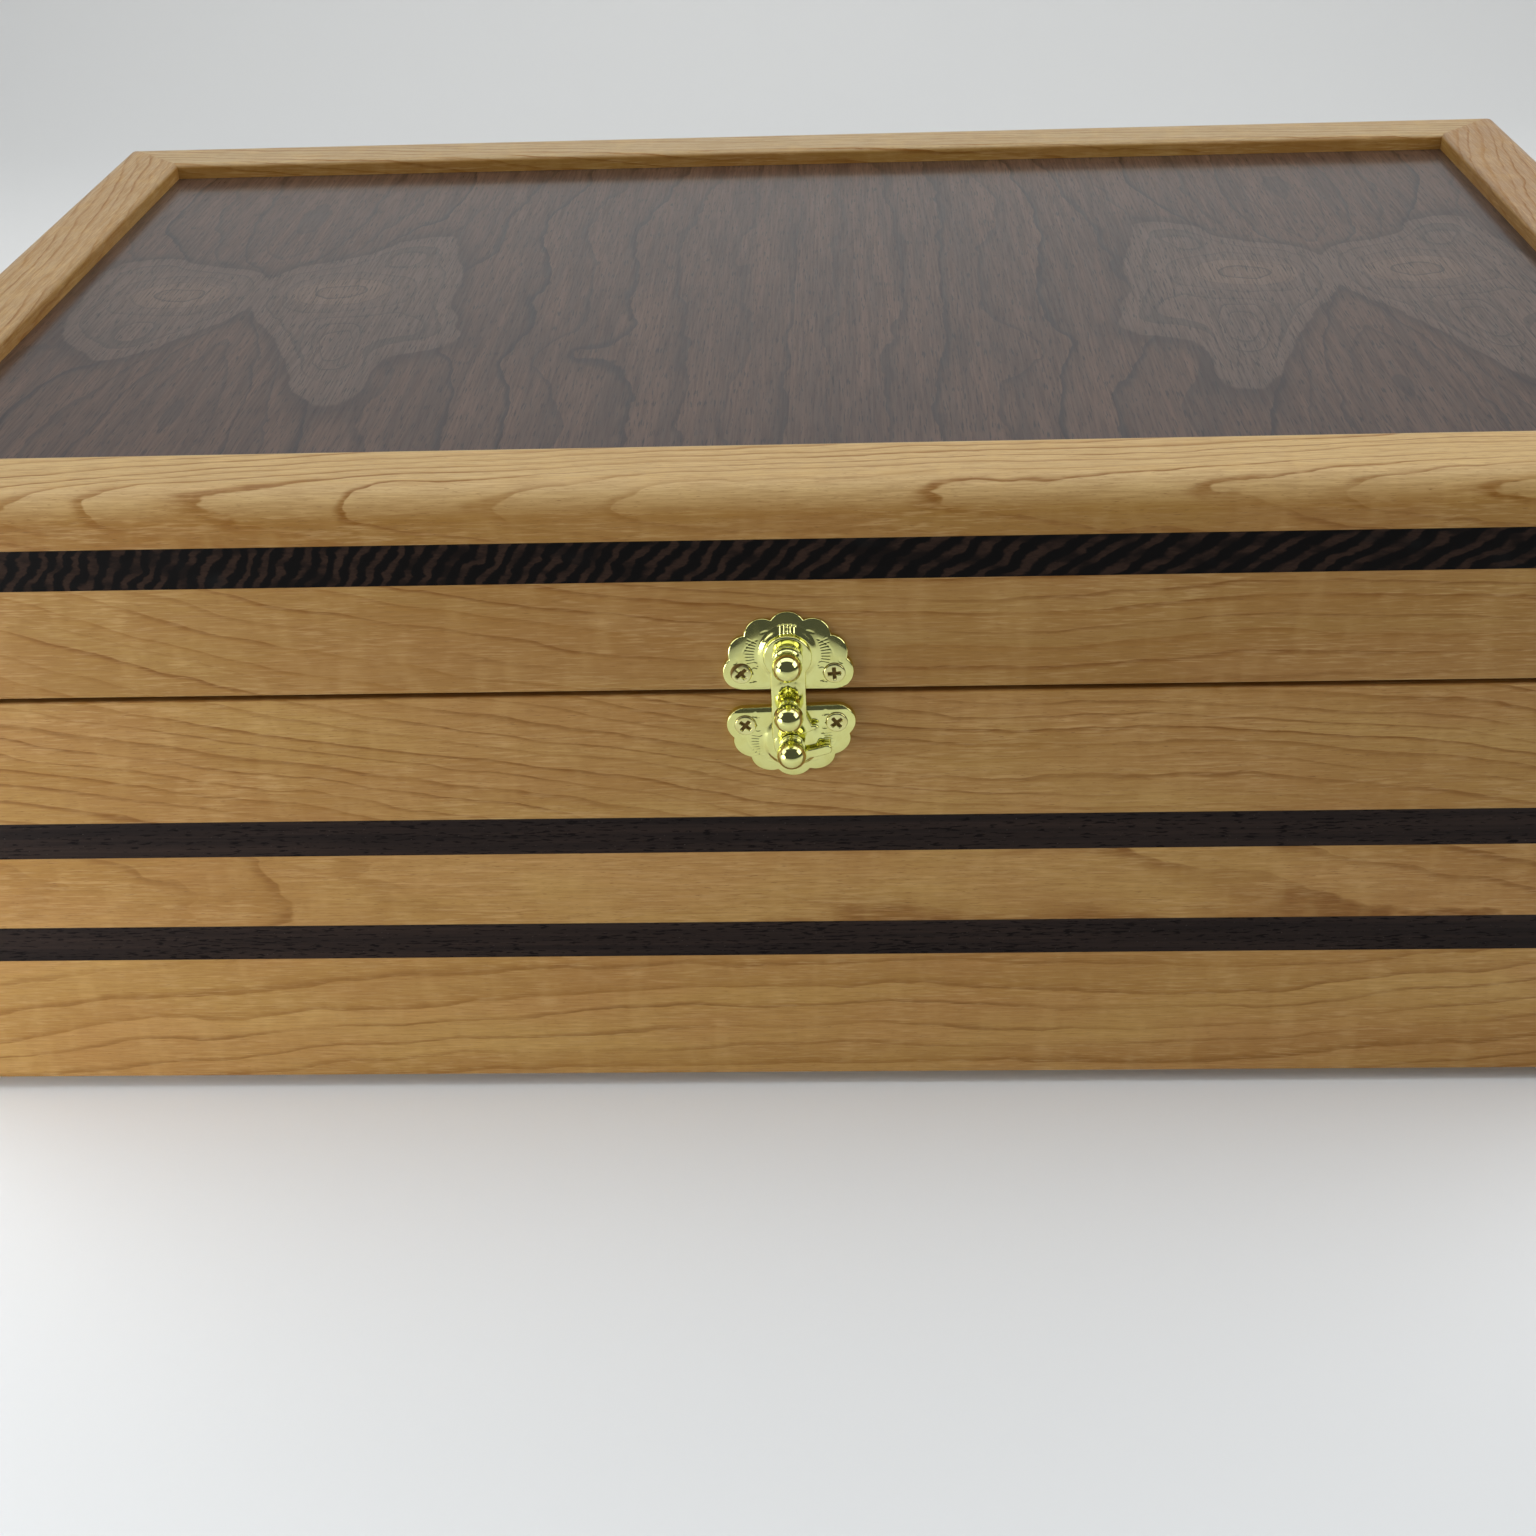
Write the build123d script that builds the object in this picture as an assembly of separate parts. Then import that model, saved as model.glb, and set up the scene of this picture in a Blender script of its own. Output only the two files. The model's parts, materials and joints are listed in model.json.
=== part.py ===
from build123d import *
import math
import os

# A hinged keepsake and presentation box: laminated, mitred walls, a framed veneered lid,
# two stop hinges at the back and a swing-hook latch at the front.
# Millimetres. +Z is up and +X runs along the front. The origin is on the surface that the
# box stands on, below the centre of the wooden case; the front wall faces -Y.

# --- Case ---------------------------------------------------------------------------------
WIDTH = 444.5  # outside, along X
DEPTH = 289.0  # outside, along Y
WALL = 23.8  # wall and rail thickness
CORNER_ROUND = 3.0  # upright outside corners
EDGE_EASE = 0.5  # eased edges on both sides of the seam
FOOT_HEIGHT = 3.8  # the case stands clear of the table by this much

# Heights of the glued layers, from the bottom of the case upwards.
BASE_LAYERS = [
    ("bottom_board", 35.0),
    ("lower_strip", 9.5),
    ("middle_board", 19.4),
    ("upper_strip", 9.5),
    ("top_board", 31.6),
]
LID_LAYERS = [("board", 26.2), ("strip", 9.5), ("top_rail", 11.9)]
SEAM_GAP = 1.0
SIDES = ["front", "back", "left", "right"]

# --- Lid frame and panel ------------------------------------------------------------------
TOP_ROUND = 7.5  # outer top edge of the frame
INNER_ROUND = 1.6  # inner top edge of the frame
PANEL_RECESS = 4.7  # panel face below the top of the frame
RABBET_WIDTH = 10.0  # how far the panel reaches under the frame
PANEL_PLAY = 0.5  # room for the panel to move in its rabbet
VENEER = 0.6
LEAF_JOINTS = {  # the book-matched face leaves and where each begins and ends along X
    "left_outer": (None, -144.5),
    "left_inner": (-144.5, 0.0),
    "right_inner": (0.0, 141.5),
    "right_outer": (141.5, None),
}

# --- Floor --------------------------------------------------------------------------------
FLOOR_RAISE = 8.0  # floor underside above the bottom of the case
FLOOR_THICKNESS = 6.4
GROOVE_DEPTH = 7.0
GROOVE_PLAY = 0.2
FLOOR_PLAY = 0.5

# --- Feet ---------------------------------------------------------------------------------
FOOT_TOP_RADIUS = 7.5
FOOT_BOTTOM_RADIUS = 6.5
FOOT_INSET = 14.0  # foot centre in from both outside faces
FOOT_EDGE_ROUND = 0.6

# --- Hinges -------------------------------------------------------------------------------
HINGE_X = 140.0  # hinge centres left and right of the middle
HINGE_LENGTH = 38.0
HINGE_OFFSET = 3.3  # pin axis behind the back wall
HINGE_OPENING = 100.0  # the stop faces meet here, in degrees
LEAF_THICKNESS = 2.0
LEAF_GAP = 0.1  # between the two closed leaves
LEAF_INSET = 15.5  # how far a leaf reaches into the wall
MORTISE_PLAY = 0.1
BARREL_RADIUS = 2.9
KNUCKLE_PLAY = 0.15
PIN_RADIUS = 1.25
PIN_PLAY = 0.04
PIN_HEAD_RADIUS = 2.0
PIN_HEAD_THICKNESS = 0.7
STOP_DROP = 5.4  # how far a stop block reaches from the pin axis
STOP_FRONT = 2.8  # how far a stop block reaches back towards the wall
STOP_PLAY = 0.3  # degrees shaved off each stop face
HINGE_SCREW_X = (-13.0, 0.0, 13.0)
HINGE_SCREW_INSETS = (6.0, 10.5, 6.0)  # from the back face of the wall

# --- Screws -------------------------------------------------------------------------------
HINGE_SCREW_HEAD = 2.4
HINGE_SCREW_SHANK = 1.3
HINGE_SCREW_LENGTH = 13.0
HINGE_SCREW_SINK = 0.1
LATCH_SCREW_HEAD = 2.4
LATCH_SCREW_DOME = 1.0
LATCH_SCREW_SHANK = 1.0
LATCH_SCREW_LENGTH = 9.0
CROSS_LENGTH = 2.7
CROSS_WIDTH = 0.6
CROSS_DEPTH = 0.7
TIP_LENGTH = 2.5
HOLE_PLAY = 0.05

# --- Latch --------------------------------------------------------------------------------
PLATE_THICKNESS = 0.8
PLATE_LOBE_RADIUS = 4.25
PLATE_LOBES = [(0.0, 13.95), (5.15, 12.4), (8.7, 8.6), (9.95, 4.25)]  # centres above the edge
PLATE_EDGE_ABOVE_SEAM = 0.7  # the lid's plate starts this far above the lid's lower edge
PLATE_EDGE_BELOW_SEAM = 2.5  # the base's plate starts this far below the base's upper edge
LOWER_PLATE_X = 0.2
LOWER_PLATE_TURN = 1.7  # degrees; the lower plate sits slightly askew
RING_RADIUS = 6.2  # embossed ring about the pivot and the stud
RING_WIDTH = 0.9
RING_HEIGHT = 0.35
STUD_HEIGHT = 8.6  # pivot and stud axes from the straight edge of their plates
PLATE_SCREWS = [(-9.95, 4.1), (9.95, 4.1)]
ARM_STANDOFF = 1.6  # arm above the face of the plates, to clear the screw heads
ARM_THICKNESS = 1.1
ARM_WIDTH = 7.6
ARM_HEAD_RADIUS = 5.2
KNOB_DROP = 12.3  # finger knob below the pivot
BALL_RADIUS = 3.25
BALL_REACH = 7.6  # ball centres in front of the wall
NECK_RADIUS = 1.25
BACK_COLLAR_RADIUS = 2.4  # behind the arm
PIVOT_COLLAR_RADIUS = 3.2  # in front of the arm, one for each knob
FINGER_COLLAR_RADIUS = 2.1
STUD_COLLAR_RADIUS = 2.8
COLLAR_THICKNESS = 0.7
TAIL_RADIUS = 1.3
TAIL_LENGTH = 5.0
PIVOT_PLAY = 0.05
SLOT_PLAY = 0.3  # around the neck of the stud
JAW_WIDTH = 2.3
JAW_TIP = 19.5  # degrees from straight down to the tip of the lower jaw
UPPER_JAW_WIDTH = 2.6
UPPER_JAW_TIP = 16.5  # degrees from straight down to the tip of the upper jaw
SHOULDER = 5.8  # the arm starts to widen into the upper jaw this far above the slot
MOUTH_FLARE = 1.4  # by which the mouth widens outwards
HOOK_HEEL_RADIUS = 4.0  # outside of the C behind the stud

# --- Derived heights and planes -----------------------------------------------------------
BASE_TOP = FOOT_HEIGHT + sum(height for name, height in BASE_LAYERS)
LID_BOTTOM = BASE_TOP + SEAM_GAP
LID_TOP = LID_BOTTOM + sum(height for name, height in LID_LAYERS)
RAIL_BOTTOM = LID_TOP - LID_LAYERS[-1][1]
PANEL_TOP = LID_TOP - PANEL_RECESS
FRONT = -DEPTH / 2
BACK = DEPTH / 2
HINGE_Y = BACK + HINGE_OFFSET
HINGE_Z = BASE_TOP + SEAM_GAP / 2
PIVOT_X = 0.0
PIVOT_Z = LID_BOTTOM + PLATE_EDGE_ABOVE_SEAM + STUD_HEIGHT
LOWER_PLATE_Z = BASE_TOP - PLATE_EDGE_BELOW_SEAM
STUD_X = LOWER_PLATE_X + STUD_HEIGHT * math.sin(math.radians(LOWER_PLATE_TURN))
STUD_Z = LOWER_PLATE_Z - STUD_HEIGHT * math.cos(math.radians(LOWER_PLATE_TURN))
STUD_SWING = math.hypot(STUD_X - PIVOT_X, PIVOT_Z - STUD_Z)
STUD_ANGLE = math.degrees(math.atan2(STUD_X - PIVOT_X, PIVOT_Z - STUD_Z))

BOTTOM_UP = (Align.CENTER, Align.CENTER, Align.MIN)
FROM_CORNER = (Align.MIN, Align.MIN, Align.MIN)
MARGIN = 5.0  # cutting solids reach past what they cut by this much
NEAR = 0.01  # two heights closer than this are the same


def slab(x0, x1, y0, y1, z0, z1):
    """A box from its corner coordinates."""
    return Pos(x0, y0, z0) * Box(x1 - x0, y1 - y0, z1 - z0, align=FROM_CORNER)


def wall_ring(z0, z1):
    """One glued layer before it is mitred: a rectangular ring with rounded corners."""
    return Pos(0, 0, z0) * rounded_column(z1 - z0) - inner_space(z0 - MARGIN, z1 + MARGIN)


def inner_space(z0, z1, grow=0.0):
    """The space inside the walls, reaching grow into each wall."""
    half_x = WIDTH / 2 - WALL + grow
    half_y = DEPTH / 2 - WALL + grow
    return slab(-half_x, half_x, -half_y, half_y, z0, z1)


def mitre_wedge(side):
    """The part of the plan that belongs to one side, bounded by the two mitre planes."""
    reach = WALL + MARGIN
    if side in ("front", "back"):
        outer, cross = WIDTH / 2, DEPTH / 2
    else:
        outer, cross = DEPTH / 2, WIDTH / 2
    corners = [
        (-outer - MARGIN, -cross - MARGIN),
        (outer + MARGIN, -cross - MARGIN),
        (outer - reach, -cross + reach),
        (-outer + reach, -cross + reach),
    ]
    wedge = extrude(make_face(Polyline(*corners, close=True)), LID_TOP + 2 * MARGIN)
    turn = {"front": 0, "right": 90, "back": 180, "left": 270}[side]
    return Rot(0, 0, turn) * (Pos(0, 0, -MARGIN) * wedge)


def split_ring(ring):
    """Cut a layer ring into its four mitred boards."""
    return {side: ring & mitre_wedge(side) for side in SIDES}


def layer_boards():
    """Every wall board, keyed by its node name."""
    boards = {}
    z = FOOT_HEIGHT
    for name, height in BASE_LAYERS:
        ring = wall_ring(z, z + height)
        if name == "bottom_board":
            ring -= floor_groove()
        if name == "top_board":
            ring = ease_outer_edges(ring, z + height)
        for side, board in split_ring(ring).items():
            boards[f"base_{name}_{side}"] = board
        z += height
    z = LID_BOTTOM
    for name, height in LID_LAYERS:
        if name == "top_rail":
            ring = top_rail_ring()
        else:
            ring = wall_ring(z, z + height)
        if name == "board":
            ring = ease_outer_edges(ring, z)
        for side, board in split_ring(ring).items():
            boards[f"lid_{name}_{side}"] = board
        z += height
    return boards


def ease_outer_edges(ring, z):
    """Round the outside edge of a layer where the lid meets the base."""
    outside = [
        edge
        for edge in ring.edges()
        if abs(edge.center().Z - z) < NEAR
        and max(abs(edge.center().X) - WIDTH / 2, abs(edge.center().Y) - DEPTH / 2) > -CORNER_ROUND
    ]
    return fillet(outside, EDGE_EASE)


def top_rail_ring():
    """The lid's frame, rounded outside and rabbeted underneath for the panel."""
    block = Pos(0, 0, RAIL_BOTTOM) * Box(WIDTH, DEPTH, LID_TOP - RAIL_BOTTOM, align=BOTTOM_UP)
    block = fillet(block.faces().sort_by(Axis.Z)[-1].edges(), TOP_ROUND)
    block = block & (Pos(0, 0, RAIL_BOTTOM) * rounded_column(LID_TOP - RAIL_BOTTOM))
    ring = block - inner_space(RAIL_BOTTOM - MARGIN, LID_TOP + MARGIN)
    inner_edges = [
        edge
        for edge in ring.edges()
        if abs(edge.center().Z - LID_TOP) < NEAR
        and abs(edge.center().X) < WIDTH / 2 - WALL + NEAR
        and abs(edge.center().Y) < DEPTH / 2 - WALL + NEAR
    ]
    ring = fillet(inner_edges, INNER_ROUND)
    return ring - inner_space(RAIL_BOTTOM - MARGIN, PANEL_TOP, RABBET_WIDTH)


def rounded_column(height):
    """The case's plan with rounded corners, as a solid."""
    column = Box(WIDTH, DEPTH, height, align=BOTTOM_UP)
    return fillet(column.edges().filter_by(Axis.Z), CORNER_ROUND)


def floor_groove():
    """The groove that holds the floor, cut around the inside of the bottom boards."""
    z0 = FOOT_HEIGHT + FLOOR_RAISE
    return inner_space(z0, z0 + FLOOR_THICKNESS + GROOVE_PLAY, GROOVE_DEPTH)


def floor_panel():
    """The floor of the box, loose in its groove."""
    z0 = FOOT_HEIGHT + FLOOR_RAISE
    return inner_space(z0, z0 + FLOOR_THICKNESS, GROOVE_DEPTH - FLOOR_PLAY)


def lid_panel_parts():
    """Core, backing veneer and the face leaves of the lid panel."""
    grow = RABBET_WIDTH - PANEL_PLAY
    core_bottom = RAIL_BOTTOM + VENEER
    core_top = PANEL_TOP - VENEER
    half = WIDTH / 2 - WALL + grow
    parts = {
        "lid_panel_backing_veneer": inner_space(RAIL_BOTTOM, core_bottom, grow),
        "lid_panel_core": inner_space(core_bottom, core_top, grow),
    }
    face = inner_space(core_top, PANEL_TOP, grow)
    for name, (start, end) in LEAF_JOINTS.items():
        x0 = -half if start is None else start
        x1 = half if end is None else end
        keep = slab(x0, x1, -DEPTH, DEPTH, core_top - MARGIN, PANEL_TOP + MARGIN)
        parts[f"lid_veneer_leaf_{name}"] = face & keep
    return parts


def foot(x, y):
    """One rubber bumper foot, slightly tapered and softened at its lower edge."""
    body = Cone(FOOT_BOTTOM_RADIUS, FOOT_TOP_RADIUS, FOOT_HEIGHT, align=BOTTOM_UP)
    body = fillet(body.edges().sort_by(Axis.Z)[0], FOOT_EDGE_ROUND)
    return Pos(x, y, 0) * body


# --- Hinges -------------------------------------------------------------------------------
def cylinder_x(radius, x0, x1):
    """A cylinder about the X axis between two stations."""
    return Pos((x0 + x1) / 2, 0, 0) * Rot(0, 90, 0) * Cylinder(radius, x1 - x0)


def knuckle_spans():
    """X stations of the three knuckles: outer two on the base leaf, middle one on the lid leaf."""
    half = HINGE_LENGTH / 2
    inner = half / 3
    return {"base": [(-half, -inner), (inner, half)], "lid": [(-inner, inner)]}


def stop_block():
    """The block behind the barrel; its sloping face meets the other leaf's when the lid is open."""
    slope = math.radians(HINGE_OPENING / 2 + STOP_PLAY)
    outline = [
        (-STOP_FRONT, -STOP_DROP),
        (-STOP_FRONT, 0),
        (0, 0),
        (STOP_DROP / math.tan(slope), -STOP_DROP),
    ]
    face = make_face(Plane.YZ * Polyline(*outline, close=True))
    return extrude(face, HINGE_LENGTH / 2, both=True)


def hinge_leaf(owner):
    """A leaf about the pin axis, lying below it. The lid's leaf is the same, turned over."""
    half = HINGE_LENGTH / 2
    top = -LEAF_GAP / 2
    reach = HINGE_OFFSET + LEAF_INSET
    leaf = slab(-half, half, -reach, 0, top - LEAF_THICKNESS, top)
    leaf = leaf + stop_block() + cylinder_x(BARREL_RADIUS, -half, half)
    other = "lid" if owner == "base" else "base"
    for x0, x1 in knuckle_spans()[other]:
        low = x0 - KNUCKLE_PLAY / 2 if x0 > -half else x0 - MARGIN
        high = x1 + KNUCKLE_PLAY / 2 if x1 < half else x1 + MARGIN
        leaf -= cylinder_x(BARREL_RADIUS + KNUCKLE_PLAY, low, high)
    bore = PIN_RADIUS if owner == "base" else PIN_RADIUS + PIN_PLAY
    leaf -= cylinder_x(bore, -half - MARGIN, half + MARGIN)
    for x, y in hinge_screw_places():
        leaf -= Pos(x, y, top - HINGE_SCREW_SINK) * countersunk_screw(HOLE_PLAY)
        leaf -= Pos(x, y, top) * Cylinder(HINGE_SCREW_HEAD + HOLE_PLAY, 2 * HINGE_SCREW_SINK)
    return leaf


def hinge_screw_places():
    """Screw positions on a leaf, from the pin axis."""
    return [(x, -HINGE_OFFSET - y) for x, y in zip(HINGE_SCREW_X, HINGE_SCREW_INSETS)]


def countersunk_screw(grow=0.0):
    """A wood screw pointing down, its flat head face at the origin."""
    head = HINGE_SCREW_HEAD + grow
    shank = HINGE_SCREW_SHANK + grow
    cone = HINGE_SCREW_HEAD - HINGE_SCREW_SHANK
    tip = HINGE_SCREW_LENGTH - TIP_LENGTH
    profile = [(0, 0), (head, 0), (shank, -cone), (shank, -tip), (0, -HINGE_SCREW_LENGTH - grow)]
    screw = revolve(make_face(Plane.XZ * Polyline(*profile, close=True)), Axis.Z)
    if grow == 0.0:
        screw -= cross_recess()
    return screw


def cross_recess():
    """A crosshead recess in the face at the origin."""
    bar = Box(CROSS_LENGTH, CROSS_WIDTH, 2 * CROSS_DEPTH)
    return bar + Rot(0, 0, 90) * bar


def hinge_pin():
    """The hinge pin with its two flat heads."""
    half = HINGE_LENGTH / 2
    pin = cylinder_x(PIN_RADIUS, -half, half)
    for end in (-1, 1):
        stations = sorted((end * half, end * (half + PIN_HEAD_THICKNESS)))
        pin += cylinder_x(PIN_HEAD_RADIUS, *stations)
    return pin


def hinge_mortise():
    """The pocket for one leaf in the edge of the wall, below the pin axis."""
    half = HINGE_LENGTH / 2 + MORTISE_PLAY
    reach = HINGE_OFFSET + LEAF_INSET + MORTISE_PLAY
    return slab(-half, half, -reach, 0, -LEAF_GAP / 2 - LEAF_THICKNESS, SEAM_GAP)


def hinge_cut():
    """Everything that one leaf and its screws take out of the wall."""
    cut = hinge_mortise()
    for x, y in hinge_screw_places():
        cut += Pos(x, y, -LEAF_GAP / 2 - HINGE_SCREW_SINK) * countersunk_screw(HOLE_PLAY)
    return cut


def hinge_screws():
    """The three screws of one leaf."""
    z = -LEAF_GAP / 2 - HINGE_SCREW_SINK
    return [Pos(x, y, z) * countersunk_screw() for x, y in hinge_screw_places()]


def at_hinge(side, part, upper=False):
    """Put a part made about the pin axis in its place; upper turns it over for the lid."""
    moved = mirror(part, Plane.XY) if upper else part
    return Pos(side * HINGE_X, HINGE_Y, HINGE_Z) * moved


# --- Latch --------------------------------------------------------------------------------
def front_plane(x, z, out, turn=0.0):
    """A sketch plane on the front facing -Y: X along +X and Y along +Z, turned in its plane."""
    angle = math.radians(turn)
    x_dir = (math.cos(angle), 0, math.sin(angle))
    return Plane(origin=(x, FRONT - out, z), x_dir=x_dir, z_dir=(0, -1, 0))


def upper_plate_plane(out):
    """The upper plate stands on its straight edge."""
    return front_plane(PIVOT_X, LID_BOTTOM + PLATE_EDGE_ABOVE_SEAM, out)


def lower_plate_plane(out):
    """The lower plate hangs below its straight edge, a little askew."""
    return front_plane(LOWER_PLATE_X, LOWER_PLATE_Z, out, 180 + LOWER_PLATE_TURN)


def plate_outline():
    """The scalloped outline above the straight edge, as a face."""
    right = PLATE_LOBES
    left = [(-x, y) for x, y in PLATE_LOBES[1:]]
    edge_x = PLATE_LOBES[-1][0]
    body = [(-edge_x, 0), (edge_x, 0)] + list(reversed(right)) + left
    outline = make_face(Polyline(*body, close=True))
    for x, y in right + left:
        outline += Pos(x, y) * Circle(PLATE_LOBE_RADIUS)
    return outline


def latch_plate(plane_at):
    """A stamped plate with an embossed ring, screw holes and a hole for the knob's tail."""
    plate = extrude(plane_at(0) * plate_outline(), PLATE_THICKNESS)
    ring = Pos(0, STUD_HEIGHT) * (Circle(RING_RADIUS) - Circle(RING_RADIUS - RING_WIDTH))
    plate += extrude(plane_at(PLATE_THICKNESS) * ring, RING_HEIGHT)
    holes = Pos(0, STUD_HEIGHT) * Circle(TAIL_RADIUS)
    for x, y in PLATE_SCREWS:
        holes += Pos(x, y) * Circle(LATCH_SCREW_SHANK + HOLE_PLAY)
    return plate - extrude(plane_at(-MARGIN) * holes, 3 * MARGIN)


def turned(profile, plane):
    """A turned piece: (radius, height) steps revolved about the plane's normal."""
    face = make_face(Plane.XZ * Polyline(*profile, close=True))
    return plane * revolve(face, Axis.Z)


def arm_levels():
    """Back and front faces of the hook's arm, in front of the wall."""
    back = PLATE_THICKNESS + ARM_STANDOFF
    return back, back + ARM_THICKNESS


def front_collar(radius, level):
    """Profile of the neck and collar in front of the arm, from a level up into the ball."""
    return [
        (NECK_RADIUS, level),
        (radius, level),
        (radius, level + COLLAR_THICKNESS),
        (NECK_RADIUS, level + COLLAR_THICKNESS),
        (NECK_RADIUS, BALL_REACH),
        (0, BALL_REACH),
    ]


def ball_headed(profile, x, z):
    """A turned piece on the front, with the ball on its end."""
    ball = Pos(x, FRONT - BALL_REACH, z) * Sphere(BALL_RADIUS)
    return turned(profile, front_plane(x, z, 0)) + ball


def fixed_knob(x, z, play, collar):
    """A knob riveted into the wood. The arm has the given play between its two collars."""
    back, front = arm_levels()
    profile = [
        (0, -TAIL_LENGTH),
        (TAIL_RADIUS, -TAIL_LENGTH),
        (TAIL_RADIUS, PLATE_THICKNESS),
        (BACK_COLLAR_RADIUS, PLATE_THICKNESS),
        (BACK_COLLAR_RADIUS, back - play),
        (NECK_RADIUS, back - play),
    ]
    return ball_headed(profile + front_collar(collar, front + play), x, z)


def pivot_knob():
    """The rivet that the hook turns on, fixed to the lid."""
    return fixed_knob(PIVOT_X, PIVOT_Z, PIVOT_PLAY, PIVOT_COLLAR_RADIUS)


def stud_knob():
    """The stud that the hook catches, fixed to the base."""
    return fixed_knob(STUD_X, STUD_Z, SLOT_PLAY, STUD_COLLAR_RADIUS)


def finger_knob():
    """The knob riveted to the arm, for the finger that swings it."""
    back, front = arm_levels()
    profile = [(0, back), (NECK_RADIUS, back)] + front_collar(FINGER_COLLAR_RADIUS, front)
    return ball_headed(profile, PIVOT_X, PIVOT_Z - KNOB_DROP)


def swing_point(radius, angle):
    """A point about the pivot; the angle is in degrees from straight down, positive to +X."""
    turn = math.radians(angle)
    return (radius * math.sin(turn), -radius * math.cos(turn))


def sector(inner, outer, start, end):
    """A ring sector about the pivot between two angles."""
    middle = (start + end) / 2
    lines = [
        ThreePointArc(*[swing_point(outer, angle) for angle in (start, middle, end)]),
        Line(swing_point(outer, end), swing_point(inner, end)),
        ThreePointArc(*[swing_point(inner, angle) for angle in (end, middle, start)]),
        Line(swing_point(inner, start), swing_point(outer, start)),
    ]
    return make_face(Curve() + lines)


def mouth_flare(slot_top):
    """The wedge that widens the mouth of the hook upwards."""
    past_tip = JAW_TIP + MARGIN
    corners = [
        swing_point(slot_top, STUD_ANGLE),
        swing_point(STUD_SWING, STUD_ANGLE),
        swing_point(STUD_SWING, past_tip),
        swing_point(slot_top - MOUTH_FLARE, past_tip),
    ]
    return make_face(Polyline(*corners, close=True))


def round_ended_jaw(inner, outer, tip):
    """One jaw of the hook: a ring sector from the stud to a rounded tip."""
    jaw = sector(inner, outer, STUD_ANGLE, tip)
    return jaw + Pos(*swing_point((inner + outer) / 2, tip)) * Circle((outer - inner) / 2)


def shoulder(slot_top):
    """The slope by which the arm widens into the upper jaw."""
    corners = [
        (ARM_WIDTH / 2, SHOULDER - slot_top),
        swing_point(slot_top - UPPER_JAW_WIDTH, UPPER_JAW_TIP),
        swing_point(slot_top, STUD_ANGLE),
    ]
    return make_face(Polyline(*corners, close=True))


def hook_outline():
    """The arm in its own plane about the pivot: round head, strap, and a C that opens to +X."""
    slot = NECK_RADIUS + SLOT_PLAY
    slot_top = STUD_SWING - slot
    slot_bottom = STUD_SWING + slot
    stud = Pos(STUD_X - PIVOT_X, STUD_Z - PIVOT_Z)
    outline = Circle(ARM_HEAD_RADIUS)
    outline += Pos(0, -slot_top / 2) * Rectangle(ARM_WIDTH, slot_top)
    outline += stud * Circle(HOOK_HEEL_RADIUS)
    outline += shoulder(slot_top)
    outline += round_ended_jaw(slot_top - UPPER_JAW_WIDTH, slot_top, UPPER_JAW_TIP)
    outline += round_ended_jaw(slot_bottom, slot_bottom + JAW_WIDTH, JAW_TIP)
    outline -= sector(slot_top, slot_bottom, STUD_ANGLE, JAW_TIP + MARGIN)
    outline -= mouth_flare(slot_top)
    outline -= stud * Circle(slot)
    outline -= Circle(NECK_RADIUS + PIVOT_PLAY)
    outline -= Pos(0, -KNOB_DROP) * Circle(NECK_RADIUS)
    return outline


def latch_hook():
    """The swinging hook."""
    back = arm_levels()[0]
    return extrude(front_plane(PIVOT_X, PIVOT_Z, back) * hook_outline(), ARM_THICKNESS)


def domed_screw():
    """A domed crosshead screw about the Z axis, its head's flat underside at the origin."""
    dome_sphere = (LATCH_SCREW_HEAD**2 + LATCH_SCREW_DOME**2) / (2 * LATCH_SCREW_DOME)
    dome = Pos(0, 0, LATCH_SCREW_DOME - dome_sphere) * Sphere(dome_sphere)
    head = dome & Box(MARGIN * 2, MARGIN * 2, MARGIN, align=BOTTOM_UP)
    tip = LATCH_SCREW_LENGTH - TIP_LENGTH
    shank = LATCH_SCREW_SHANK
    profile = [(0, 0), (shank, 0), (shank, -tip), (0, -LATCH_SCREW_LENGTH)]
    body = revolve(make_face(Plane.XZ * Polyline(*profile, close=True)), Axis.Z)
    return head + body - Pos(0, 0, LATCH_SCREW_DOME) * cross_recess()


def plate_screws(plane_at):
    """The two screws of one plate."""
    plane = plane_at(PLATE_THICKNESS)
    return [plane * Pos(x, y, 0) * domed_screw() for x, y in PLATE_SCREWS]


def plate_drilling(plane_at):
    """Pilot holes in the wall behind one plate: the knob's tail and the two screws."""
    into_wall = plane_at(0)
    holes = Pos(0, STUD_HEIGHT, -TAIL_LENGTH) * Cylinder(TAIL_RADIUS, TAIL_LENGTH, align=BOTTOM_UP)
    radius = LATCH_SCREW_SHANK + HOLE_PLAY
    for x, y in PLATE_SCREWS:
        holes += Pos(x, y, -LATCH_SCREW_LENGTH) * Cylinder(radius, LATCH_SCREW_LENGTH, align=BOTTOM_UP)
    return into_wall * holes


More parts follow.
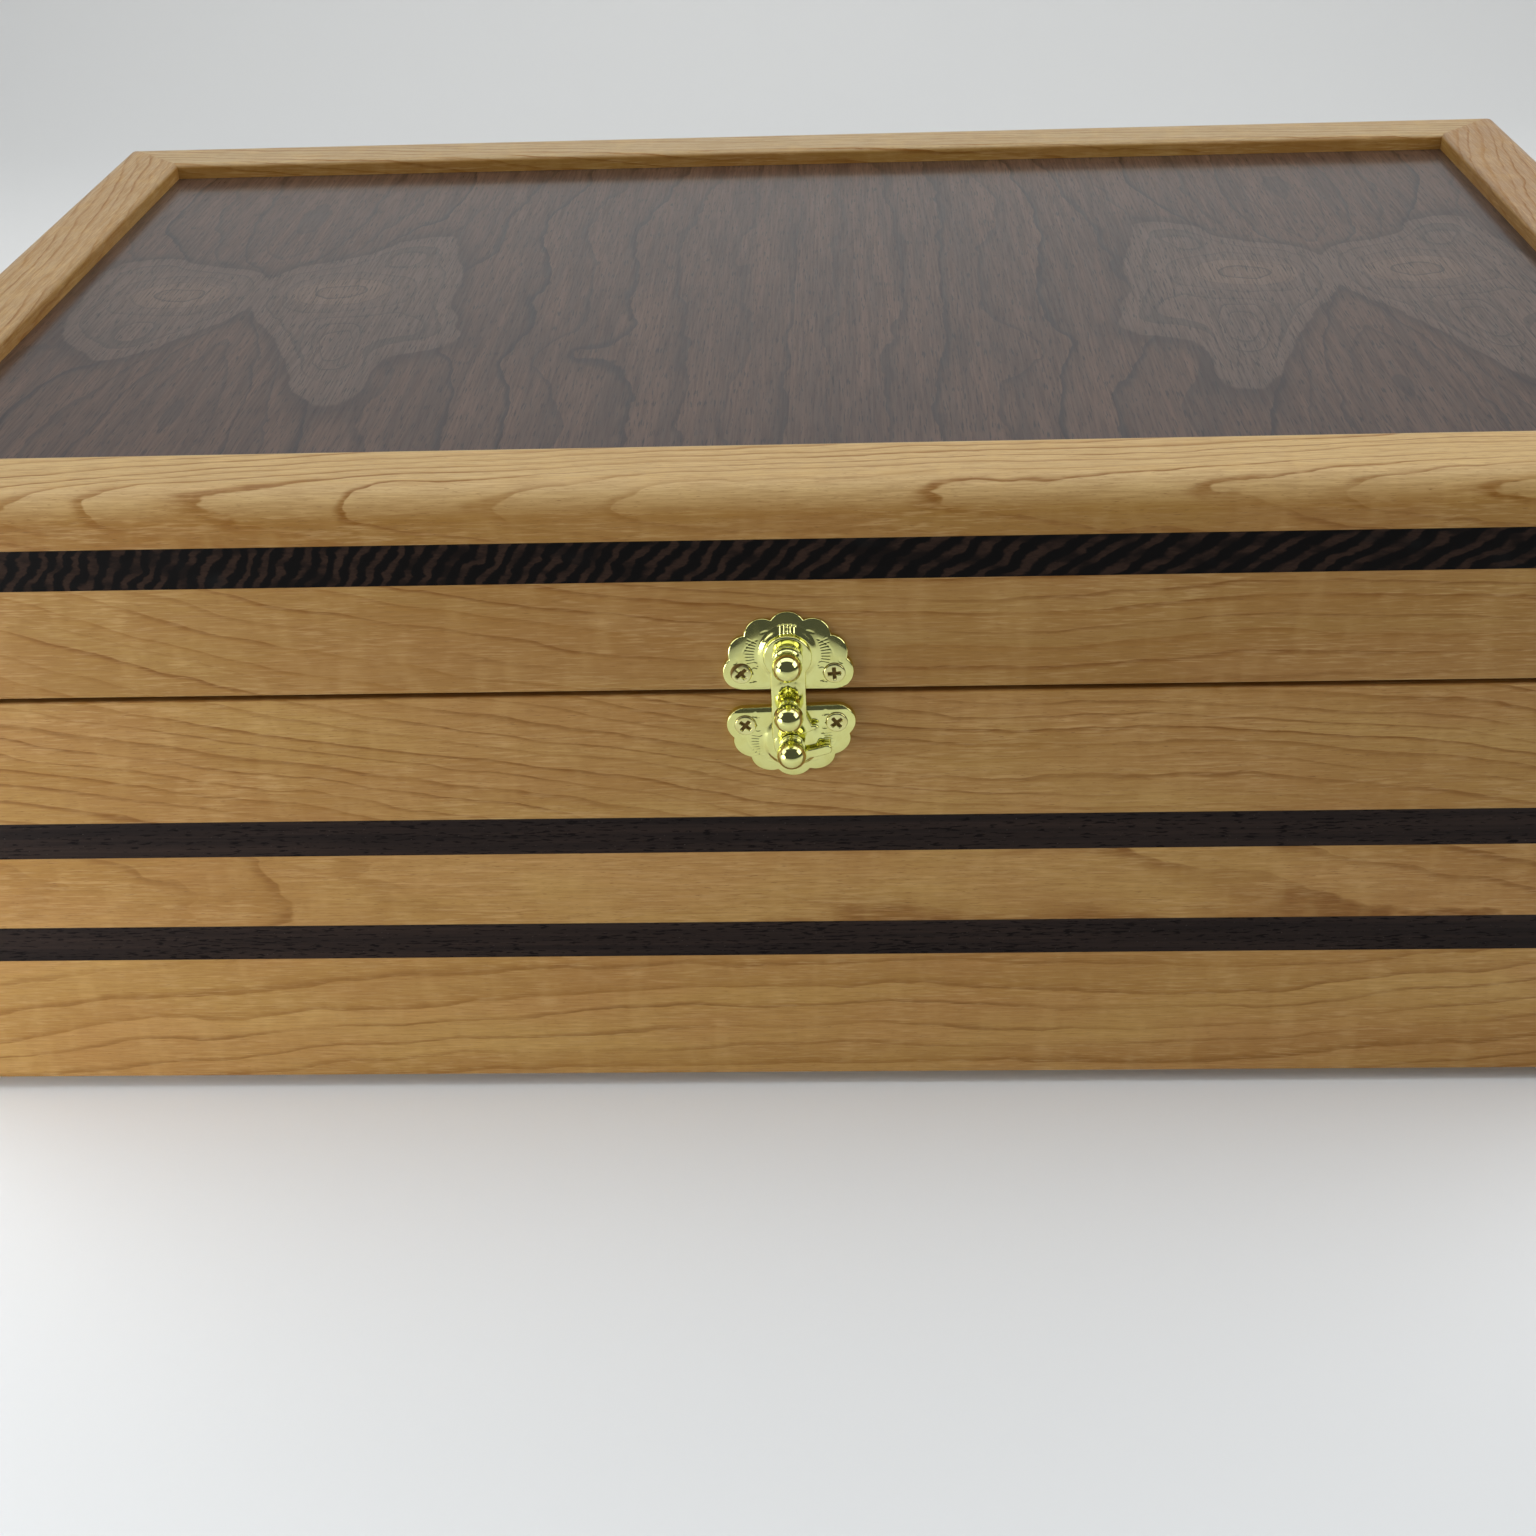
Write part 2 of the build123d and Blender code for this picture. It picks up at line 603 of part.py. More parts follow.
# --- Assembly -----------------------------------------------------------------------------
def all_parts():
    """Every node of the box."""
    parts = layer_boards()
    for side in (-1, 1):
        parts["base_top_board_back"] -= at_hinge(side, hinge_cut())
        parts["lid_board_back"] -= at_hinge(side, hinge_cut(), upper=True)
    parts["lid_board_front"] -= plate_drilling(upper_plate_plane)
    parts["base_top_board_front"] -= plate_drilling(lower_plate_plane)

    parts["base_floor_panel"] = floor_panel()
    parts.update(lid_panel_parts())

    foot_x = WIDTH / 2 - FOOT_INSET
    foot_y = DEPTH / 2 - FOOT_INSET
    parts["foot_front_left"] = foot(-foot_x, -foot_y)
    parts["foot_front_right"] = foot(foot_x, -foot_y)
    parts["foot_back_left"] = foot(-foot_x, foot_y)
    parts["foot_back_right"] = foot(foot_x, foot_y)

    base_screws = []
    lid_screws = []
    for name, side in (("left", -1), ("right", 1)):
        parts[f"hinge_{name}_base_leaf"] = at_hinge(side, hinge_leaf("base"))
        parts[f"hinge_{name}_lid_leaf"] = at_hinge(side, hinge_leaf("lid"), upper=True)
        parts[f"hinge_{name}_pin"] = at_hinge(side, hinge_pin())
        base_screws += [at_hinge(side, screw) for screw in hinge_screws()]
        lid_screws += [at_hinge(side, screw, upper=True) for screw in hinge_screws()]
    parts["hinge_screws_base"] = Compound(children=base_screws)
    parts["hinge_screws_lid"] = Compound(children=lid_screws)

    parts["latch_upper_plate"] = latch_plate(upper_plate_plane)
    parts["latch_lower_plate"] = latch_plate(lower_plate_plane)
    parts["latch_screws_upper"] = Compound(children=plate_screws(upper_plate_plane))
    parts["latch_screws_lower"] = Compound(children=plate_screws(lower_plate_plane))
    parts["latch_pivot_knob"] = pivot_knob()
    parts["latch_stud_knob"] = stud_knob()
    parts["latch_finger_knob"] = finger_knob()
    parts["latch_hook"] = latch_hook()
    return parts


os.makedirs("parts", exist_ok=True)
for node, shape in all_parts().items():
    export_step(shape, f"parts/{node}.step")
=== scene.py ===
import bmesh
import bpy
import json
import math
import numpy as np
from mathutils import Matrix, Vector


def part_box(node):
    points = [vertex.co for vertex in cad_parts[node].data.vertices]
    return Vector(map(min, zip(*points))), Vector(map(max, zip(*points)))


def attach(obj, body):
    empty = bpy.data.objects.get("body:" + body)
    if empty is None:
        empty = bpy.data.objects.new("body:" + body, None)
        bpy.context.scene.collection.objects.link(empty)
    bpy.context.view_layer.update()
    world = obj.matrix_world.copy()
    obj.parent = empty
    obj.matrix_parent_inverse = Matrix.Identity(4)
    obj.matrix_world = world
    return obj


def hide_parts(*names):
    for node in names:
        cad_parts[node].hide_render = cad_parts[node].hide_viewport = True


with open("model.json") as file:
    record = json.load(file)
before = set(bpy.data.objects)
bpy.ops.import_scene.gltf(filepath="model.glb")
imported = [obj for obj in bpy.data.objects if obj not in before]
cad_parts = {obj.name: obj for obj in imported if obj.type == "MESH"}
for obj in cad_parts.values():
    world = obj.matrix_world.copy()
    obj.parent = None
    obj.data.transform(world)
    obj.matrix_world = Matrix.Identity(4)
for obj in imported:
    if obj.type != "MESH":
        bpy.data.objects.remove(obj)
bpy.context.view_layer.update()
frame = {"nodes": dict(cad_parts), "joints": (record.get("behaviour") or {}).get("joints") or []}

MM = 0.001
NODES = frame["nodes"]

# --- Places that the frame gives ---
FRONT_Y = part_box("base_bottom_board_front")[0].y
BACK_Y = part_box("base_bottom_board_back")[1].y
SIDE_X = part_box("base_bottom_board_right")[1].x
JOINTS = {joint["name"]: joint for joint in frame["joints"]}
PIVOT = Vector(JOINTS["hook_pivot"]["pos_m"])


# --- Shader helpers ---
class Graph:
    """Adds nodes to one shader tree and feeds their inputs with values or other outputs."""

    def __init__(self, tree):
        self.tree = tree

    def add(self, kind, inputs=None, **settings):
        node = self.tree.nodes.new(kind)
        for name, value in settings.items():
            setattr(node, name, value)
        for name, value in (inputs or {}).items():
            self.feed(node.inputs[name], value)
        return node

    def feed(self, socket, value):
        if isinstance(value, bpy.types.NodeSocket):
            self.tree.links.new(value, socket)
        else:
            socket.default_value = value

    def math(self, operation, *values):
        node = self.add("ShaderNodeMath", operation=operation)
        for socket, value in zip(node.inputs, values):
            self.feed(socket, value)
        return node.outputs[0]

    def times(self, a, b):
        return self.math("MULTIPLY", a, b)

    def vector(self, operation, a, b):
        node = self.add("ShaderNodeVectorMath", operation=operation)
        self.feed(node.inputs[0], a)
        self.feed(node.inputs[1], b)
        return node.outputs[0]

    def length(self, vector):
        return self.add("ShaderNodeVectorMath", {0: vector}, operation="LENGTH").outputs["Value"]

    def split(self, vector):
        return self.add("ShaderNodeSeparateXYZ", {0: vector}).outputs[:]

    def join(self, x, y, z):
        return self.add("ShaderNodeCombineXYZ", {0: x, 1: y, 2: z}).outputs[0]

    def millimetres(self, location=(0.0, 0.0, 0.0), rotation=(0.0, 0.0, 0.0)):
        """The object's own coordinates in millimetres, turned and then moved."""
        inputs = {
            "Vector": self.add("ShaderNodeTexCoord").outputs["Object"],
            "Location": location,
            "Rotation": rotation,
            "Scale": (1 / MM,) * 3,
        }
        return self.add("ShaderNodeMapping", inputs).outputs[0]

    def noise(self, vector, scale=1.0, detail=2.0, roughness=0.5):
        inputs = {"Vector": vector, "Scale": scale, "Detail": detail, "Roughness": roughness}
        return self.add("ShaderNodeTexNoise", inputs).outputs["Fac"]

    def blobs(self, place, size, detail=2.0, roughness=0.5):
        """Noise whose blobs have about the given size along each axis."""
        return self.noise(self.vector("DIVIDE", place, size), 1.0, detail, roughness)

    def sway(self, value, place, size, amount):
        """The value pushed to and fro by blobs of noise."""
        push = self.math("SUBTRACT", self.blobs(place, size), 0.5)
        return self.math("MULTIPLY_ADD", push, amount, value)

    def spread(self, value, low, high, to_low=0.0, to_high=1.0):
        """A smooth step from to_low to to_high, as the value goes from low to high."""
        inputs = {"Value": value, "From Min": low, "From Max": high}
        inputs.update({"To Min": to_low, "To Max": to_high})
        node = self.add("ShaderNodeMapRange", inputs, interpolation_type="SMOOTHSTEP")
        return node.outputs[0]

    def hill(self, value, foot, top, edge, end):
        """0 up to the foot, 1 from the top to the edge, and 0 again from the end on."""
        rise = self.spread(value, foot, top)
        fall = self.spread(value, edge, end, 1.0, 0.0)
        return self.times(rise, fall)

    def mix(self, factor, a, b, blend="MIX"):
        node = self.add("ShaderNodeMix", data_type="RGBA", blend_type=blend)
        self.feed(node.inputs["Factor"], factor)
        self.feed(node.inputs["A"], a)
        self.feed(node.inputs["B"], b)
        return node.outputs["Result"]

    def paint(self, color, tone, mask, strength=1.0):
        """The colour with a tone laid over it where the mask is, up to a strength."""
        return self.mix(self.times(mask, strength), color, tone)

    def tint(self, color, tone, value, low, high, strength):
        """The same, where a value goes from low to high."""
        return self.mix(self.spread(value, low, high, 0.0, strength), color, tone)

    def curve(self, value, points, low, high):
        """A smooth curve through (value, result) points, over results from low to high."""
        first, last = points[0][0], points[-1][0]
        scaled = self.math("DIVIDE", self.math("SUBTRACT", value, first), last - first)
        node = self.add("ShaderNodeFloatCurve", {"Factor": 1.0, "Value": scaled})
        line = node.mapping.curves[0].points
        while len(line) < len(points):
            line.new(0.5, 0.5)
        for point, (x, y) in zip(line, points):
            point.location = ((x - first) / (last - first), (y - low) / (high - low))
        node.mapping.update()
        return self.math("MULTIPLY_ADD", node.outputs[0], high - low, low)


def rgb(red, green, blue):
    return (red, green, blue, 1.0)


def new_material(name):
    """An empty material and its graph. finish_surface adds the shader and the output."""
    material = bpy.data.materials.new(name)
    material.use_nodes = True
    material.node_tree.nodes.clear()
    return material, Graph(material.node_tree)


def finish_surface(graph, color, roughness, height=None, bump=0.2, step=0.1, **uniform):
    """The shader itself, with bumps of a step in millimetres. Uniform values are its own."""
    shader = graph.add("ShaderNodeBsdfPrincipled", {"Base Color": color, "Roughness": roughness})
    for name, value in uniform.items():
        shader.inputs[name.replace("_", " ")].default_value = value
    if height is not None:
        inputs = {"Strength": bump, "Distance": step * MM, "Height": height}
        bumped = graph.add("ShaderNodeBump", inputs).outputs[0]
        graph.feed(shader.inputs["Normal"], bumped)
    output = graph.add("ShaderNodeOutputMaterial")
    graph.feed(output.inputs["Surface"], shader.outputs[0])


SIDE_TURNS = {"front": 0.0, "right": -90.0, "back": 180.0, "left": 90.0}


def board_space(graph, side, z0):
    """Millimetres on a wall board: X along it, Y from its outer face inwards, Z from z0 up."""
    face = SIDE_X if side in ("left", "right") else BACK_Y
    location = (0.0, face / MM, -z0 / MM)
    return graph.millimetres(location, (0.0, 0.0, math.radians(SIDE_TURNS[side])))


def seeded(graph, place, seed, shift):
    """The place moved by so many shifts, so that each piece of wood has its own marks."""
    return graph.vector("ADD", place, tuple(seed * part for part in shift))


def per_ring(graph, rings, seed, scale, layer=0.0):
    """A random value that stays the same all along one growth ring."""
    return graph.noise(graph.join(graph.math("FLOOR", rings), seed, layer), scale, 0.0)


# --- Cherry ---
# Where the heart of the log runs behind each board: distance along the board from its middle,
# depth behind its outer face and height above its lower edge. Then the distance between two
# growth rings. All in millimetres. The last value is the board's own tint.
CHERRY_BOARDS = {
    "base_bottom_board": ([(-230, 46, 38), (-100, 45, 56), (0, 44, 61), (110, 44, 60),
                           (170, 44, 66), (230, 44, 76)], 3.9, (1.05, 1.05, 1.05)),
    "base_middle_board": ([(-230, 25, 7), (-150, 35, 9), (-85, 42, 9), (40, 44, 8),
                           (120, 46, 0), (180, 46, -10), (230, 45, -20)], 3.4, (1.0, 1.0, 1.0)),
    "base_top_board": ([(-230, 52, -22), (-90, 54, -46), (30, 56, -64), (100, 57, -66),
                        (165, 54, -76), (230, 52, -92)], 3.0, (0.95, 0.95, 0.95)),
    "lid_board": ([(-230, 50, -8), (-150, 50, -38), (-60, 50, -60), (20, 48, -68),
                   (130, 47, -68), (230, 47, -72)], 3.6, (0.84, 0.83, 0.8)),
    "lid_top_rail": ([(-230, 47, -36), (-150, 60, -36), (-60, 70, -36), (30, 75, -36),
                      (110, 80, -36), (230, 87, -36)], 2.5, (0.76, 0.71, 0.58)),
}
HEART_LIMITS = (-120.0, 120.0)
SIDE_SHIFTS = {"front": (0.0, 0.0), "back": (7.3, 3.1), "left": (3.9, -4.2), "right": (-5.1, 5.7)}
RING_SWAYS = [((85, 30, 30), 7.5), ((30, 11, 11), 3.0), ((8, 3.5, 3.5), 0.8)]  # size, amount
CHERRY_SHIFT = (71.3, 13.7, 29.1)

# Sizes of soft patches along, through and across the board, in millimetres.
PATCH_SIZE, BLUSH_SIZE = (130, 34, 34), (60, 16, 16)
LINE_FADE_SIZE, BRIGHT_SIZE = (55, 10, 10), (38, 9, 9)

# Painted light on faces that look up: pale painted sheen on the top rails, deep painted shade on seam
# rims.
# The painted sheen is paler on the front and deeper on the sides that the light reaches less.
TOP_SHEEN_TONES = {
    "front": rgb(0.6, 0.43, 0.205),
    "back": rgb(0.46, 0.36, 0.21),
    "left": rgb(0.4, 0.28, 0.15),
    "right": rgb(0.33, 0.225, 0.14),
}
# Painted shade on the rims in the seam, where the lid shades them.
RIM_SHADE_TONE = rgb(0.2, 0.08, 0.018)
PAINTED_TOP_SHARE = 0.8
CHERRY_TONES = {
    "light": rgb(0.475, 0.288, 0.088),
    "deep": rgb(0.375, 0.2, 0.05),
    "blush": rgb(0.43, 0.226, 0.076),
    "dark_ring": rgb(0.31, 0.15, 0.034),
    "shade": rgb(0.31, 0.146, 0.022),
    "line": rgb(0.205, 0.08, 0.009),
}

# Marks along the grain, in the order they are laid: the length and width of their streaks in
# millimetres, the noise where they start and where they are full, its detail, and then a
# strength and a tone.
CHERRY_MARKS = {
    "fibre": ((12.0, 0.5, 0.34, 0.7, 3.0), 0.36, rgb(0.27, 0.13, 0.035)),
    "hair": ((4.0, 0.18, 0.48, 0.72, 2.0), 0.3, rgb(0.22, 0.1, 0.026)),
    # Pale patches: mottle of the wood, partly painted sheen.
    "mottle_and_sheen": ((7.0, 13.0, 0.45, 0.75, 2.0), 0.13, rgb(0.66, 0.44, 0.17)),
    "fleck": ((7.0, 0.55, 0.46, 0.72, 2.0), 0.28, rgb(0.7, 0.48, 0.22)),
    "pore": ((2.2, 0.15, 0.64, 0.76, 1.0), 0.55, rgb(0.15, 0.062, 0.016)),
}


def cherry_rings(graph, place, heart, spacing, seed):
    """Growth-ring count at a point of a board, swaying and uneven as real rings are."""
    along = graph.split(place)[0]
    heart_depth = graph.curve(along, [(a, d) for a, d, h in heart], *HEART_LIMITS)
    heart_height = graph.curve(along, [(a, h) for a, d, h in heart], *HEART_LIMITS)
    across = graph.vector("SUBTRACT", place, graph.join(0.0, heart_depth, heart_height))
    radius = graph.length(graph.vector("MULTIPLY", across, (0.0, 1.0, 1.0)))
    place = seeded(graph, place, seed, CHERRY_SHIFT)
    for size, amount in RING_SWAYS:
        radius = graph.sway(radius, place, size, amount)
    rings = graph.math("DIVIDE", radius, spacing)
    uneven = graph.noise(graph.join(rings, seed, 0.0), 0.55, 1.0)
    return graph.math("MULTIPLY_ADD", uneven, 0.9, rings)


def streaks(graph, place, length, width, low, high, detail=2.0):
    """Fine marks along the grain, from 0 to 1."""
    return graph.spread(graph.blobs(place, (length, width, width), detail, 0.6), low, high)


def cherry_shade(graph, rings, ring_tone):
    """The late wood of each ring: it darkens slowly towards the ring's end."""
    phase = graph.math("FRACT", rings)
    rising = graph.times(phase, graph.spread(phase, 0.96, 1.0, 1.0, 0.0))
    strength = graph.spread(ring_tone, 0.42, 0.62, 0.12, 0.6)
    return graph.times(graph.math("POWER", rising, 3.0), strength)


def cherry_line(graph, rings, place, seed):
    """The thin dark line at the end of each ring, broken up and fading in and out."""
    crisp = graph.hill(graph.math("FRACT", rings), 0.7, 0.92, 0.95, 1.0)
    broken = streaks(graph, place, 5.0, 0.5, 0.25, 0.6)
    crisp = graph.times(crisp, graph.math("MULTIPLY_ADD", broken, 0.4, 0.6))
    each_ring = graph.spread(per_ring(graph, rings, seed, 1.37), 0.3, 0.6, 0.35, 1.0)
    fade = graph.spread(graph.blobs(place, LINE_FADE_SIZE), 0.36, 0.56, 0.3, 1.0)
    return graph.times(crisp, graph.times(each_ring, fade))


def cherry_material(name, board, painted_top_tone, side, z0, seed):
    """Oiled cherry: warm tan, late-wood lines, fine pores, pale flecks and pale mottle, partly
    painted sheen.
    """
    material, graph = new_material(name)
    heart, spacing, tint = board
    shift_depth, shift_height = SIDE_SHIFTS[side]
    heart = [(a, d + shift_depth, h + shift_height) for a, d, h in heart]
    if side in ("back", "right"):
        heart = [(-a, d, h) for a, d, h in reversed(heart)]
    place = board_space(graph, side, z0)
    rings = cherry_rings(graph, place, heart, spacing, seed)
    place = seeded(graph, place, seed, CHERRY_SHIFT)

    tones = CHERRY_TONES
    patch = graph.spread(graph.blobs(place, PATCH_SIZE), 0.32, 0.68)
    blush = graph.spread(graph.blobs(place, BLUSH_SIZE), 0.38, 0.62, 0.0, 0.55)
    ring_tone = per_ring(graph, rings, seed, 1.9, 7.0)
    upward = graph.split(graph.add("ShaderNodeTexCoord").outputs["Normal"])[2]
    color = graph.mix(patch, tones["light"], tones["deep"])
    color = graph.mix(blush, color, tones["blush"])
    color = graph.mix(1.0, color, rgb(*tint), "MULTIPLY")
    color = graph.tint(color, tones["dark_ring"], ring_tone, 0.35, 0.7, 0.3)
    # Faces that look up take the painted tone: painted sheen on the top rails, painted shade on the
    # seam rims.
    color = graph.paint(color, painted_top_tone, graph.spread(upward, 0.1, 0.8), PAINTED_TOP_SHARE)
    color = graph.mix(cherry_shade(graph, rings, ring_tone), color, tones["shade"])
    color = graph.paint(color, tones["line"], cherry_line(graph, rings, place, seed), 0.95)

    bright = graph.spread(graph.blobs(place, BRIGHT_SIZE, 1.0), 0.35, 0.65, 0.4, 1.0)
    masks = {}
    for kind, (streak, strength, tone) in CHERRY_MARKS.items():
        mask = streaks(graph, place, *streak)
        masks[kind] = graph.times(mask, bright) if kind == "fleck" else mask
        color = graph.paint(color, tone, masks[kind], strength)
    roughness = graph.spread(masks["fibre"], 0.0, 1.0, 0.34, 0.46)
    height = graph.math("SUBTRACT", graph.times(masks["fibre"], -0.3), masks["pore"])
    finish_surface(graph, color, roughness, height, bump=0.3, step=0.06, Specular_IOR_Level=0.22)
    return material


# --- Dark strips ---
WENGE_SHIFT = (53.0, 7.0, 11.0)
WENGE_BAND, WENGE_FIBRE, WENGE_SPECK = (120, 2.2, 2.2), (22, 0.35, 0.35), (0.5, 0.25, 0.25)
WENGE_DASH, WENGE_CROWD = (3.4, 0.5, 0.5), (30, 3.0, 3.0)
WENGE_TONES = {
    "deep": rgb(0.015, 0.0105, 0.0095),
    "light": rgb(0.032, 0.0205, 0.0165),
    "fibre": rgb(0.01, 0.007, 0.006),
    "dash": rgb(0.003, 0.002, 0.002),
    "speck": rgb(0.12, 0.1, 0.09),
}


def plain_strip_material(name, side, z0, seed):
    """Nearly black open-pored wood, with short darker dashes in crowds and a few pale specks."""
    material, graph = new_material(name)
    tones = WENGE_TONES
    place = seeded(graph, board_space(graph, side, z0), seed, WENGE_SHIFT)
    band = graph.spread(graph.blobs(place, WENGE_BAND, 3.0, 0.6), 0.3, 0.7)
    fibre = graph.blobs(place, WENGE_FIBRE)
    crowd = graph.math("MULTIPLY_ADD", graph.blobs(place, WENGE_CROWD), 0.28, -0.14)
    dash = graph.math("ADD", graph.blobs(place, WENGE_DASH, 2.0, 0.55), crowd)
    dash = graph.spread(dash, 0.56, 0.63)
    speck = graph.spread(graph.blobs(place, WENGE_SPECK, 0.0), 0.8, 0.84)
    color = graph.mix(band, tones["deep"], tones["light"])
    color = graph.tint(color, tones["fibre"], fibre, 0.3, 0.7, 0.35)
    color = graph.paint(color, tones["dash"], dash, 0.85)
    color = graph.paint(color, tones["speck"], speck, 0.5)
    roughness = graph.spread(dash, 0.0, 1.0, 0.42, 0.65)
    height = graph.math("SUBTRACT", graph.times(fibre, 0.3), dash)
    finish_surface(graph, color, roughness, height, bump=0.35, step=0.1, Specular_IOR_Level=0.08)
    return material


# How far the bands lean for each millimetre of height, and the distance between two of them,
# by distance along the strip.
BAND_LEAN = [(-230, 0.45), (-60, 0.75), (60, 1.2), (230, 1.5)]
BAND_PITCH = [(-230, 4.3), (-60, 4.6), (60, 6.2), (230, 7.2)]
BAND_DEPTH_LEAN = 0.4
FIGURE_SHIFT = (37.0, 5.0, 17.0)
FIGURE_SWAYS = [((14, 7, 7), 8.0), ((3.0, 1.9, 1.9), 2.6), ((1.0, 0.8, 0.8), 0.8)]
FIGURE_SHEEN_PATCH, FIGURE_FADE, FIGURE_FIBRE = (14, 9, 9), (7, 3, 3), (1.2, 0.3, 0.3)
# The grey patch tone is a painted sheen on the dark wood.
FIGURE_TONES = {
    "ground": rgb(0.0026, 0.0022, 0.002),
    "band": rgb(0.032, 0.0175, 0.012),
    "fibre": rgb(0.004, 0.003, 0.003),
    "gloss": rgb(0.008, 0.009, 0.009),
}


def figured_strip_material(name, side, z0, seed):
    """A strip sawn across the rings: wavy slanting bands, steep at the left, flatter at the right."""
    material, graph = new_material(name)
    tones = FIGURE_TONES
    place = board_space(graph, side, z0)
    along, depth, height = graph.split(place)
    lean = graph.curve(along, BAND_LEAN, 0.0, 2.0)
    pitch = graph.curve(along, BAND_PITCH, 0.0, 10.0)
    slanted = graph.math("SUBTRACT", along, graph.times(height, lean))
    slanted = graph.math("ADD", slanted, graph.times(depth, BAND_DEPTH_LEAN))
    place = seeded(graph, place, seed, FIGURE_SHIFT)
    for size, amount in FIGURE_SWAYS:
        slanted = graph.sway(slanted, place, size, amount)
    phase = graph.math("FRACT", graph.math("DIVIDE", slanted, pitch))
    faded = graph.spread(graph.blobs(place, FIGURE_FADE), 0.32, 0.6, 0.2, 1.0)
    band = graph.times(graph.hill(phase, 0.4, 0.58, 0.84, 0.98), faded)
    gloss = graph.blobs(place, FIGURE_SHEEN_PATCH)
    fibre = graph.blobs(place, FIGURE_FIBRE)
    color = graph.mix(band, tones["ground"], tones["band"])
    color = graph.tint(color, tones["fibre"], fibre, 0.35, 0.7, 0.3)
    # Painted sheen: a grey haze over these patches, where the finish is also rougher.
    color = graph.tint(color, tones["gloss"], gloss, 0.62, 0.8, 0.5)
    roughness = graph.spread(gloss, 0.3, 0.7, 0.3, 0.42)
    finish_surface(graph, color, roughness, fibre, bump=0.12, step=0.05, Specular_IOR_Level=0.07)
    return material


# --- Walnut veneer ---
# On a leaf, the distance runs from the joint that the butterfly figures lie on, and the depth
# runs backwards from the middle of the figure. A wing's outline is its reach in millimetres
# from the wing's middle, for directions in degrees from straight away from the joint.
WING_MIDDLE = (24.0, -2.0)
LONG_WING = [
    (-180, 24), (-160, 25.5), (-135, 28), (-114, 34), (-100, 45), (-92, 60), (-86, 79),
    (-82, 83), (-75, 68), (-68, 54), (-60, 53), (-54, 54), (-36, 41), (-10, 30.5), (37, 35),
    (60, 48), (68, 54), (78, 49), (97, 32), (143, 29), (180, 24),
]
SHORT_WING = [
    (-180, 24), (-160, 25.5), (-135, 28), (-114, 33), (-95, 43), (-84, 48), (-76, 44),
    (-50, 33), (-10, 24), (30, 28), (58, 39), (68, 38), (97, 28), (143, 28), (180, 24),
]
EYE_MIDDLE, EYE_SIZE = (22.0, 0.0, 0.0), (14.0, 11.0, 1.0)  # the ellipse inside a wing
EYE_SHARE = 0.42  # its place among the rings of the wing
WING_RING = EYE_SHARE / 2
WING_LIFT = 20.0  # how far a wing pushes the straight grain aside
# Round patches away from the wings: distance, depth, half size along both, and their lift.
STRAYS = [
    (88.0, -54.0, 11.0, 15.0, 9.0),
    (78.0, 58.0, 20.0, 46.0, 5.0),
    (112.0, 20.0, 16.0, 70.0, 4.0),
    (4.0, 74.0, 10.0, 44.0, -8.0),
    (4.0, -86.0, 12.0, 34.0, -8.0),
]
BUTTERFLY_Y = 3.0
VENEER_RING = 8.0
GRAIN_SLOPE = 0.62
VENEER_SWAYS = [((40, 60, 1), 5.0), ((9, 18, 1), 3.4), ((2.5, 6, 1), 1.3)]
DEPTH_SWAY = 1.4  # how much more the depth sways than the distance
FIELD_PUSHES = [((26, 70, 1), 9.0), ((7, 22, 1), 3.0)]
VENEER_FIBRE, VENEER_PORE, VENEER_STREAK = (0.6, 20, 1), (0.36, 6.0, 1), (3.5, 60, 1)
OUTSIDE_SEED, INSIDE_SEED = 3.3, 8.1
VENEER_TONES = {
    "light": rgb(0.088, 0.048, 0.032),
    "deep": rgb(0.052, 0.028, 0.02),
    "wing": rgb(0.105, 0.075, 0.06),
    "eye": rgb(0.15, 0.095, 0.065),
    "line": rgb(0.008, 0.005, 0.006),
    "rim": rgb(0.018, 0.008, 0.007),
    "fibre": rgb(0.026, 0.012, 0.01),
    "pore": rgb(0.006, 0.004, 0.004),
}


def lifted(graph, out, up):
    """How far the stray patches push the grain at a point of a leaf."""
    total = 0.0
    for patch_x, patch_y, reach_x, reach_y, strength in STRAYS:
        away_x = graph.math("DIVIDE", graph.math("SUBTRACT", out, patch_x), reach_x)
        away_y = graph.math("DIVIDE", graph.math("SUBTRACT", up, patch_y), reach_y)
        square = graph.math("MULTIPLY_ADD", away_x, away_x, graph.times(away_y, away_y))
        hump = graph.math("EXPONENT", graph.times(square, -1.1))
        total = graph.math("MULTIPLY_ADD", hump, strength, total)
    return total


def share_of_wing(graph, out, up, outline):
    """Distance from the middle of a wing as a share of its outline: 1 on the outline itself."""
    away = graph.vector("SUBTRACT", graph.join(out, up, 0.0), (*WING_MIDDLE, 0.0))
    away_x, away_y = graph.split(away)[:2]
    angle = graph.math("DEGREES", graph.math("ARCTAN2", away_y, away_x))
    return graph.math("DIVIDE", graph.length(away), graph.curve(angle, outline, 0.0, 100.0))


def share_of_eye(graph, out, up):
    """The same for the ellipse inside a wing."""
    away = graph.vector("SUBTRACT", graph.join(out, up, 0.0), EYE_MIDDLE)
    return graph.length(graph.vector("DIVIDE", away, EYE_SIZE))


